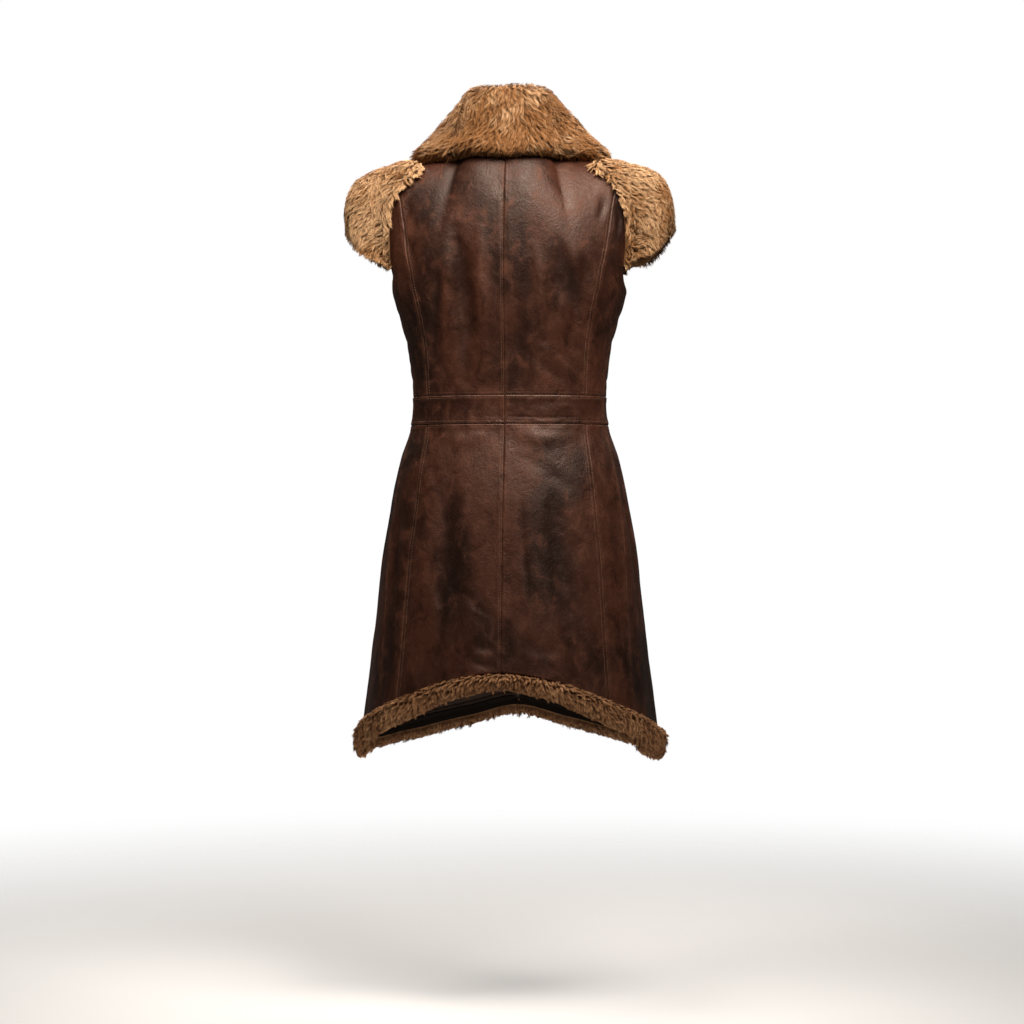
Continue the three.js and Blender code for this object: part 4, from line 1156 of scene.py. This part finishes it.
def loft_faces(loops):
    """The points and faces of a closed form through loops of points, turned outwards."""
    count, around = loops.shape[:2]
    i, j = (x.ravel() for x in np.meshgrid(np.arange(count - 1), np.arange(around), indexing="ij"))
    k = (j + 1) % around
    quads = np.stack([i * around + j, (i + 1) * around + j, (i + 1) * around + k, i * around + k], -1)
    points = loops.reshape(-1, 3)
    fans = []
    for end, turned in ((0, False), (count - 1, True)):
        ring = end * around + np.arange(around)
        middle = len(points)
        points = np.concatenate([points, points[ring].mean(0)[None]])
        fan = np.stack([ring, np.roll(ring, -1), np.full(around, middle)], -1)
        fans.append(fan[:, ::-1] if turned else fan)
    volume = 0.0
    a, b, c = (points[quads[:, n]] for n in range(3))
    volume += (a * np.cross(b, c)).sum()
    a, b, c = (points[quads[:, n]] for n in (0, 2, 3))
    volume += (a * np.cross(b, c)).sum()
    faces = [quads, np.concatenate(fans)]
    if volume < 0:
        faces = [f[:, ::-1] for f in faces]
    return points, faces


def lofted(name, loops, tones, heights, hide, material):
    """A closed mesh through loops of points, with a tone and a height of the pile for each point."""
    points, faces = loft_faces(loops)
    uv = np.stack([np.where(hide, 0.97, tones), heights], -1).reshape(-1, 2)
    uv = np.concatenate([uv, [[0.4, 0.2]] * 2])
    loops_uv = np.concatenate([uv[f].reshape(-1, 2) for f in faces])
    return mesh_object(name, points, faces, [material], None, loops_uv)


def tone_at(points, seed, middle=0.45):
    return np.clip(middle + 0.42 * waves(points, 48, seed) + 0.26 * waves(points, 17, seed + 1), 0.03, 0.88)


def lumps(points, seed):
    return 0.6 * waves(points, 15, seed) + 0.4 * waves(points, 7, seed + 1) + 1.1 * waves(points, 42, seed + 2)


def scatter(patch, count, rng):
    """Random roots on a grid of points, with their normals and flows. A flow's size scales the length."""
    points, normals, flows, weight = patch
    a, b = points[1:, 1:] - points[:-1, :-1], points[1:, :-1] - points[:-1, 1:]
    area = (np.linalg.norm(np.cross(a, b), axis=-1) * weight[:-1, :-1]).ravel()
    pick = rng.choice(len(area), count, p=area / area.sum())
    i, j = np.divmod(pick, points.shape[1] - 1)
    s, t = rng.random((2, count))[..., None]
    found = []
    for grid in (points, normals, flows):
        low = grid[i, j] * (1 - t) + grid[i, j + 1] * t
        found.append(low * (1 - s) + (grid[i + 1, j] * (1 - t) + grid[i + 1, j + 1] * t) * s)
    return found[0], unit(found[1]), found[2]


STRAND_PLACES = np.array([0, 0.5, 1])
STRAND_WIDTHS = np.array([0.95, 1.0])


def lock_paths(patch, pile, seed, rng):
    """Where the locks of the fur start, and their places along the way, which stay near the surface."""
    points, normals, flows, weight = patch
    root, normal, flow = scatter(patch, 60000, rng)
    cell = np.floor(root / pile["lock"]).astype(int)
    first = np.unique(cell, axis=0, return_index=True)[1]
    root, normal, flow = root[first], normal[first], flow[first]
    size = np.linalg.norm(flow, axis=-1, keepdims=True)
    swirl = np.stack([waves(root, pile["swirl"], seed + 20 + k) for k in range(3)], -1)
    way = flow / size + pile["tousle"] * swirl + pile["stray"] * rng.normal(size=root.shape)
    way = unit(way - normal * (way * normal).sum(-1, keepdims=True))
    aside = np.cross(way, normal)
    length = size * pile["length"] * rng.uniform(0.82, 1.15, (len(root), 1))
    phase = (7 * waves(root, 22, seed + 25) + rng.normal(scale=0.5, size=len(root)))[:, None]
    tree = KDTree(points.shape[0] * points.shape[1])
    for i, spot in enumerate(points.reshape(-1, 3)):
        tree.insert(spot, i)
    tree.balance()
    flat_points, flat_normals = points.reshape(-1, 3), unit(normals.reshape(-1, 3))
    path = [root]
    for share in STRAND_PLACES[1:]:
        wave = aside * pile["curl"] * length * share * np.sin(4.4 * share + phase)
        place = path[-1] + way * length * (share - STRAND_PLACES[len(path) - 1]) + wave
        near = np.array([tree.find(p)[1] for p in place])
        over = flat_normals[near]
        height = ((place - flat_points[near]) * over).sum(-1, keepdims=True)
        wanted = pile["height"] * math.sin(1.9 * share) * (0.7 + 0.6 * rng.random((len(root), 1)))
        path.append(place + over * (wanted - height))
        way = unit(way - over * (way * over).sum(-1, keepdims=True))
    return root, normal, np.stack(path), aside


def strands(name, patch, count, pile, material, seed):
    """Flat tapered strands that gather into locks. pile holds the sizes of the fur."""
    rng = np.random.default_rng(seed)
    lock_root, lock_normal, path, aside = lock_paths(patch, pile, seed, rng)
    root, normal, _ = scatter(patch, count, rng)
    tree = KDTree(len(lock_root))
    for i, spot in enumerate(lock_root):
        tree.insert(spot, i)
    tree.balance()
    owner = np.array([tree.find(p)[1] for p in root])
    offset = root - lock_root[owner]
    border = np.clip(np.linalg.norm(offset, axis=-1, keepdims=True) / (0.62 * pile["lock"]), 0, 1)
    reach = rng.uniform(0.72, 1.12, (count, 1)) * (1 - 0.18 * border)
    fuzz = rng.normal(scale=pile["fuzz"], size=root.shape)
    spine = []
    for k, share in enumerate(STRAND_PLACES):
        moved = (path[k] - path[0])[owner] * lerp(1, reach, share)
        dome = normal * pile["dome"] * (1 - border**2) * math.sin(2.4 * share)
        spine.append(root - offset * pile["clump"] * share**0.8 + moved + dome + fuzz * share)
    spine[0] = root - normal * 1.6
    roll = rng.normal(scale=0.55, size=(count, 1))
    half = pile["width"] / 2 * rng.uniform(0.7, 1.25, (count, 1))
    scatter_of_light = 0.14 * rng.normal(size=root.shape)
    points, shading = [], []
    for k in range(len(STRAND_PLACES)):
        way = unit(spine[min(k + 1, 2)] - spine[max(k - 1, 0)])
        flat = unit(np.cross(way, normal))
        rise = np.cross(flat, way)
        edge = flat * np.cos(roll) + rise * np.sin(roll)
        facing = rise * np.cos(roll) - flat * np.sin(roll)
        shade = unit(normal * 0.6 + facing * 0.3 + 0.12 * way + 0.42 * offset / pile["lock"] + scatter_of_light)
        if k < 2:
            points += [spine[k] - edge * half * STRAND_WIDTHS[k], spine[k] + edge * half * STRAND_WIDTHS[k]]
            shading += [shade, shade]
        else:
            points.append(spine[k])
            shading.append(shade)
    points, shading = np.stack(points, 1), np.stack(shading, 1)
    start = np.arange(count)[:, None, None] * 5
    quads = (start + np.array([(0, 1, 3, 2)])).reshape(-1, 4)
    tips = (start + np.array([(2, 3, 4)])).reshape(-1, 3)
    lock_tone = rng.normal(scale=pile["tone"], size=len(lock_root))[owner]
    tone = np.clip(tone_at(root, seed, pile["shade"]) + lock_tone + rng.normal(scale=0.1, size=count), 0.02, 0.9)
    up = np.repeat(STRAND_PLACES, 2)[None, :5]
    # Strands at a lock's border sit lower on the root-to-tip ramp, so they are darker: painted shade in the gaps
    # between locks.
    up = (0.05 + 0.93 * up) * (1 - 0.42 * border**2)
    uv = np.stack([np.repeat(tone[:, None], 5, 1), up], -1).reshape(-1, 2)
    loops_uv = np.concatenate([uv[quads].reshape(-1, 2), uv[tips].reshape(-1, 2)])
    piece = mesh_object(name, points.reshape(-1, 3), [quads, tips], [material], None, loops_uv)
    piece.data.normals_split_custom_set_from_vertices(shading.reshape(-1, 3).astype(np.float32))
    return piece


COLLAR_PILE = {"length": 23, "lock": 5.6, "swirl": 60, "tousle": 0.7, "stray": 0.1, "height": 5.5, "dome": 1.5,
               "clump": 0.4, "fuzz": 0.9, "curl": 0.34, "width": 0.85, "tone": 0.16, "shade": 0.12}
CAP_PILE = {**COLLAR_PILE, "length": 21, "tousle": 0.45, "shade": 0.58}
HEM_PILE = {**COLLAR_PILE, "length": 14, "lock": 5.5, "tousle": 0.35, "height": 4.6, "dome": 1.3, "fuzz": 0.6,
            "stray": 0.06}
PILE_INSET = 4.6  # how far the undercoat stays below the solid's face, for the strands to stand on
LUMP = 2.2
COLLAR_SPREAD = 0.8  # how much the collar's fur lies away from the middle of the back
STRANDS = {"collar": 60000, "cap": 28000, "hem_back": 24000, "hem_front": 21000}


def fur_piece(node, undercoat, pile_piece):
    for piece in (undercoat, pile_piece):
        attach(piece, "root")
    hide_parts(node)


def build_collar():
    fur, skin = collar_form()
    normal, way = surface_normals(fur)
    if (normal[len(fur) // 2, fur.shape[1] // 3, 1]) < 0:
        normal = -normal
    share = np.linspace(0, 1, fur.shape[1])[None, :, None]
    fade = np.sin(math.pi * np.clip(share, 0.012, 0.988)) ** 0.35
    lump = lumps(fur, SEED + 30)[..., None]
    coat = fur - normal * (PILE_INSET - LUMP * lump) * fade
    loops = np.concatenate([coat, skin], 1)
    tones = np.concatenate([tone_at(fur, SEED + 40), 0.5 + 0 * skin[..., 0]], 1)
    # The undercoat takes the ramp's dark root end, lighter on the lumps' tops and darker in their hollows: painted
    # shade under the strands.
    heights = np.concatenate([0.18 + 0.08 * lump[..., 0], 0.2 + 0 * skin[..., 0]], 1)
    hide = np.concatenate([np.zeros(fur.shape[:2], bool), np.ones(skin.shape[:2], bool)], 1)
    undercoat = lofted("collar_undercoat", loops, tones, heights, hide, COLLAR_FUR)
    weight = np.ones(fur.shape[:2])
    side = np.clip((np.arange(len(fur)) - len(fur) // 2) / 16, -1, 1)
    spread = unit(np.gradient(fur, axis=0)) * side[:, None, None]
    flow = unit(-way + COLLAR_SPREAD * spread) * lerp(0.36, 1, smooth(0, 0.12, share))
    piece = strands("collar_pile", (coat, normal, flow, weight), STRANDS["collar"], COLLAR_PILE, COLLAR_FUR, SEED)
    fur_piece("fur_collar", undercoat, piece)


CAP_STEPS = {"along": 78, "out": 40}
CAP_SEWN_IN = 2.2  # how far the inner edge goes down into the leather that it is sewn to


def chordal(points, share):
    """A point on a smooth curve through points, as long between them as they are apart."""
    knots = np.stack([2 * points[0] - points[1], *points, 2 * points[-1] - points[-2]])
    place = np.clip(share, 0, 1) * (len(points) - 1)
    i = np.minimum(np.floor(place).astype(int), len(points) - 2)
    t = (place - i)[..., None]
    a, b, c, d = (np.take_along_axis(knots, (i + k)[None, ..., None], 0)[0] for k in range(4))
    ab, bc, cd = (np.linalg.norm(q - p, axis=-1, keepdims=True) for p, q in ((a, b), (b, c), (c, d)))
    start = ((b - a) / ab - (c - a) / (ab + bc) + (c - b) / bc) * bc
    end = ((c - b) / bc - (d - b) / (bc + cd) + (d - c) / cd) * bc
    return b + start * t + (3 * (c - b) - 2 * start - end) * t**2 + (2 * (b - c) + start + end) * t**3


def under_cap(side, out, share):
    at = {name: along(CAP, "along", share, name) for name in CAP}

    def on_both(across, up):
        back, back_normal = on_yoke(side, False, across, up)
        front, front_normal = on_yoke(side, True, across, up)
        behind = (share <= 0.5)[..., None]
        return np.where(behind, back + back_normal * CAP_CLEARANCE, front + front_normal * CAP_CLEARANCE)

    inner = on_both(at["inner_across"], at["inner_up"])
    middle = on_both((at["inner_across"] + 1) / 2, (at["inner_up"] + at["armhole_up"]) / 2)
    edge = on_both(1 + 0 * share, at["armhole_up"])
    rim = vector(side * at["rim_x"], at["rim_y"], at["rim_z"])
    swollen = lerp(edge, rim, 0.5) + vector(side * 0.8, 0, 0.9) * at["swell"][..., None]
    return chordal([inner, middle, edge, swollen, rim], out)


def build_cap(side_name, side):
    share = np.linspace(0, 1, CAP_STEPS["along"] + 1)[:, None]
    out = np.linspace(0, 1, CAP_STEPS["out"] + 1)[None, :]
    under, normal = sample(lambda u, v: under_cap(side, u, v), out, share)
    normal = normal * side
    under = under - normal * CAP_SEWN_IN * (1 - smooth(0, 0.2, out))[..., None]
    edge = CAP_EDGE / 4
    thick = [np.sqrt(np.sin(math.pi * lerp(edge, 1 - edge, x))) for x in (share, out)]
    pile = (CAP_THICKNESS * thick[0] * thick[1])[..., None]
    lump = lumps(under, SEED + 33)[..., None]
    coat = under + normal * (pile * (1 - PILE_INSET / CAP_THICKNESS) + LUMP * lump)
    cells = np.ones((CAP_STEPS["along"], CAP_STEPS["out"]), bool)
    used, quads, _ = shell_faces(cells, side)
    points = np.concatenate([coat[used], under[used]])
    a, b, c = (points[quads[0][:, n]] for n in range(3))
    if (np.cross(b - a, c - a) * normal[used][quads[0][:, 0]]).sum() < 0:
        quads = [q[:, ::-1] for q in quads]
    bare = (out < 0.8) & (share > 0.07) & (share < 0.93)
    tones = tone_at(coat[used], SEED + 41)
    tones = np.concatenate([tones, np.where(bare[used], 0.97, tones)])
    # Painted shade: the undercoat sits at the ramp's dark root end, lighter on the lumps' tops, and darker still
    # towards the inner edge.
    height = (0.32 + 0.08 * lump[..., 0]) * lerp(0.45, 1, smooth(0, 0.12, out))
    heights = np.concatenate([height[used], np.full(int(used.sum()), 0.3)])
    uv = np.stack([tones, heights], -1)
    uv_rim = uv.copy()
    uv_rim[used.sum():, 0] = tones[: int(used.sum())]
    loops_uv = np.concatenate([uv[quads[0]].reshape(-1, 2), uv[quads[1]].reshape(-1, 2),
                               uv_rim[quads[2]].reshape(-1, 2)])
    undercoat = mesh_object(f"cap_undercoat_{side_name}", points, quads, [COLLAR_FUR], None, loops_uv)
    way = unit(np.gradient(under, axis=1))
    down = np.array([0, 0, -1.0])
    ends = (1 - smooth(0, 0.05, share) + smooth(0.95, 1, share))[..., None]
    parting = smooth(0.03, 0.2, out)[..., None]
    rim = smooth(0.8, 1, out)[..., None]
    loose = 0.3 + 0.6 * waves(under, 13, SEED + 70)[..., None]
    flow = unit(way * lerp(loose, 1, parting) + down * (0.75 + 0.6 * rim + 0.4 * ends))
    low = 1 - smooth(0.28, 0.4, share)[..., None]
    flow = flow * lerp(1, 0.55 - 0.25 * low, rim) * lerp(1, 0.5, np.minimum(ends, 1))
    weight = 1 + 2.0 * (1 - parting[..., 0]) + 0.6 * rim[..., 0] + 0.8 * ends[..., 0]
    patch = (coat, unit(normal + rim * way - 0.5 * (1 - parting) * way), flow, weight)
    piece = strands(f"cap_pile_{side_name}", patch, STRANDS["cap"], CAP_PILE, COLLAR_FUR, SEED + 50 + side)
    fur_piece(f"shoulder_cap_{side_name}", undercoat, piece)


def hem_sections(edge_column, angles):
    """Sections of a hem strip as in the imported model, ten points each."""
    top = hem_height("leather", angles) - HEM_GAP
    bottom = hem_height(edge_column, angles)
    tuft = 1.6 * np.sin(angles * 1.9) + 1.2 * np.sin(angles * 3.3 + 1)
    middle = (top + bottom) / 2
    centre, out = body(angles, middle), outwards(angles, middle)
    end = np.minimum(np.arange(len(angles)), np.arange(len(angles))[::-1]) / 4
    fullness = lerp(HEM_END_FULLNESS, 1, np.clip(end, 0, 1))

    def at(far, height):
        point = centre + out * (far * fullness)[:, None]
        point[:, 2] = height
        return point

    def rise(up):
        return lerp(bottom, top, up)

    outside, inside = HEM_FUR_OUTSIDE + 0 * top, HEM_FUR_INSIDE + 0 * top
    ring = [at(-4 + 0 * top, top), at(4 + 0 * top, top), at(outside * 0.85 + tuft, rise(0.86)),
            at(outside + tuft, rise(0.52)), at(outside * 0.8 + tuft, rise(0.18)), at(3 + 0 * top, bottom),
            at(-5 + 0 * top, bottom + 2), at(-inside, rise(0.24)), at(-inside - 1, rise(0.6)),
            at(-inside * 0.8, rise(0.88))]
    return np.stack(ring, 1)


HEM_STEP = 0.7  # degrees between sections
HEM_INSET = 5.8
HEM_LEAN = 0.7


def build_hem():
    side_seam = float(along(SEAMS, "height", HEM_SEAM_HEIGHT, "side"))
    over = 0.08  # degrees by which the fur of two strips that meet goes into each other
    strips = (
        ("hem_fur_back", "back_fur", -side_seam - over, side_seam + over, "hem_back", (0.55, 0.05), 0.025),
        ("hem_fur_front_left", "front_fur", side_seam - over, 180 + over, "hem_front", (0.52, 0.058), 0.029),
        ("hem_fur_front_right", "front_fur", -side_seam + over, -180 - over, "hem_front", (0.52, 0.058), 0.029),
    )
    for number, (node, column, start, end, amount, flat, area) in enumerate(strips):
        angles = np.linspace(start, end, round(abs(end - start) / HEM_STEP))
        loops = catmull(hem_sections(column, angles), 4, closed=True)
        normal, _ = surface_normals(loops, closed=True)
        centre = loops.mean(1, keepdims=True)
        if ((loops - centre) * normal).sum() < 0:
            normal = -normal
        lump = lumps(loops, SEED + 35)[..., None]
        sink = (HEM_INSET - 1.4 * lump) * (1 - smooth(0.2, 0.7, normal[..., 2:]))
        coat = loops - normal * sink
        down = np.array([0, 0, -1.0]) + 0 * normal
        flow = down - normal * (down * normal).sum(-1, keepdims=True)
        turn = np.abs(angles)
        lean = HEM_LEAN * np.where(turn < 90, np.minimum(turn / 45, 1), -np.minimum((180 - turn) / 45, 1))
        lean = lean * np.sign(np.gradient(turn)) + 0.001
        flow = unit(flow + lean[:, None, None] * unit(np.gradient(loops, axis=0)))
        tones = tone_at(coat, SEED + 42)
        # The undercoat takes the ramp's dark root end, lighter on the lumps' tops and darker in their hollows: painted
        # shade under the strands.
        heights = 0.18 + 0.08 * lump[..., 0]
        facing = (normal * outwards(angles, -1000)[:, None]).sum(-1)
        low, high = loops[..., 2].min(1, keepdims=True), loops[..., 2].max(1, keepdims=True)
        raised = (loops[..., 2] - low) / (high - low)
        # The inside's upper part grows no strands and takes the near-black hide colour: painted shade inside the coat.
        bare_inside_painted_shade = (facing < 0) & (raised > 0.42)
        undercoat = lofted(f"{node}_undercoat", coat, tones, heights, bare_inside_painted_shade, HEM_FUR)
        weight = np.where(bare_inside_painted_shade, 0.0, np.where(facing < 0, 0.7, 1.0))
        patch = [np.concatenate([x, x[:, :1]], 1) for x in (coat, normal, flow, weight)]
        piece = strands(f"{node}_pile", patch, STRANDS[amount], HEM_PILE, HEM_FUR, SEED + 60 + number)
        fur_piece(node, undercoat, piece)


# The camera, the floor and the light


def build_stage():
    data = bpy.data.cameras.new("camera")
    camera = bpy.data.objects.new("camera", data)
    bpy.context.scene.collection.objects.link(camera)
    turn = math.radians(CAMERA_AZIMUTH)
    forward = Vector((-math.sin(turn), math.cos(turn), 0))
    camera.location = Vector(CAMERA_TARGET) - forward * CAMERA_DISTANCE
    camera.rotation_euler = forward.to_track_quat("-Z", "Y").to_euler()
    data.sensor_width = 36
    data.lens = data.sensor_width * CAMERA_DISTANCE / FRAME_WIDTH
    data.clip_end = 60
    bpy.context.scene.camera = camera

    floor_mesh = bpy.data.meshes.new("floor")
    corners = [(x * FLOOR_REACH, y * FLOOR_REACH, FLOOR_HEIGHT) for x, y in ((-1, -1), (1, -1), (1, 1), (-1, 1))]
    floor_mesh.from_pydata(corners, [], [(0, 1, 2, 3)])
    floor = bpy.data.objects.new("floor", floor_mesh)
    bpy.context.scene.collection.objects.link(floor)
    g = Graph("floor")
    place = g.add("ShaderNodeTexCoord", output=3)
    far = g.add("ShaderNodeVectorMath", {0: place, 1: (0, 0, -FLOOR_HEIGHT)}, output=0, operation="ADD")
    radius = g.add("ShaderNodeVectorMath", {0: far}, output=1, operation="LENGTH")
    g.set(g.shader, {"Base Color": (0.92, 0.91, 0.90, 1), "Roughness": 0.9, "Specular IOR Level": 0.1,
                     "Emission Color": (1.0, 0.98, 0.95, 1), "Emission Strength": FLOOR_GLOW,
                     "Alpha": g.span(radius, *FLOOR_FADE, 1.0, 0.0)})
    floor_mesh.materials.append(g.material)

    world = bpy.data.worlds.new("studio")
    bpy.context.scene.world = world
    world.use_nodes = True
    tree = world.node_tree
    seen = tree.nodes["Background"]
    seen.inputs["Color"].default_value = (1.0, 1.0, 1.0, 1)
    lit = tree.nodes.new("ShaderNodeBackground")
    lit.inputs["Color"].default_value = (1.0, 0.96, 0.91, 1)
    lit.inputs["Strength"].default_value = WORLD_LIGHT
    path, both = tree.nodes.new("ShaderNodeLightPath"), tree.nodes.new("ShaderNodeMixShader")
    tree.links.new(path.outputs["Is Camera Ray"], both.inputs[0])
    tree.links.new(lit.outputs[0], both.inputs[1])
    tree.links.new(seen.outputs[0], both.inputs[2])
    tree.links.new(both.outputs[0], tree.nodes["World Output"].inputs[0])
    for name, place, target, size, power, spread in LAMPS:
        lamp = bpy.data.lights.new(name, "AREA")
        lamp.shape = "RECTANGLE"
        lamp.size, lamp.size_y = size
        lamp.energy = power
        lamp.color = LAMP_COLOUR
        lamp.spread = math.radians(spread)
        made = bpy.data.objects.new(name, lamp)
        made.location = place
        aim = Vector(target) - Vector(place)
        made.rotation_euler = aim.to_track_quat("-Z", "Y").to_euler()
        bpy.context.scene.collection.objects.link(made)
    bpy.context.scene.view_settings.view_transform = "Standard"


WORLD_LIGHT = 0.055
FLOOR_HEIGHT = -1.6
FLOOR_REACH = 9
FLOOR_FADE = (0.8, 3.2)  # metres from the middle between which the pale floor goes over into the background
FLOOR_GLOW = 0.27
LAMP_SPREAD = 54
LAMP_COLOUR = (1.0, 0.94, 0.87)
# Each lamp's place and the place it is aimed at, its size, its power and its spread in degrees
LAMPS = [
    ("back_right_softbox", (-0.85, 1.3, 1.55), (0, 0, 0.05), (1.5, 1.3), 11, LAMP_SPREAD),
    ("back_left_softbox", (0.6, 0.9, 1.9), (0, 0, 0.05), (1.2, 1.2), 4.6, LAMP_SPREAD),
    ("upper_back_softbox", (-0.1, 1.15, 0.95), (0.03, 0, -0.12), (0.9, 0.6), 3.3, LAMP_SPREAD),
    ("front_left_softbox", (0.7, -1.5, 1.5), (0, 0, 0.05), (1.5, 1.3), 12, LAMP_SPREAD),
    ("front_right_softbox", (-0.8, -1.5, 1.5), (0, 0, 0.05), (1.5, 1.3), 9, LAMP_SPREAD),
]

build_stage()
build_leather()
build_tapes()
build_collar()
build_cap("left", 1)
build_cap("right", -1)
build_hem()
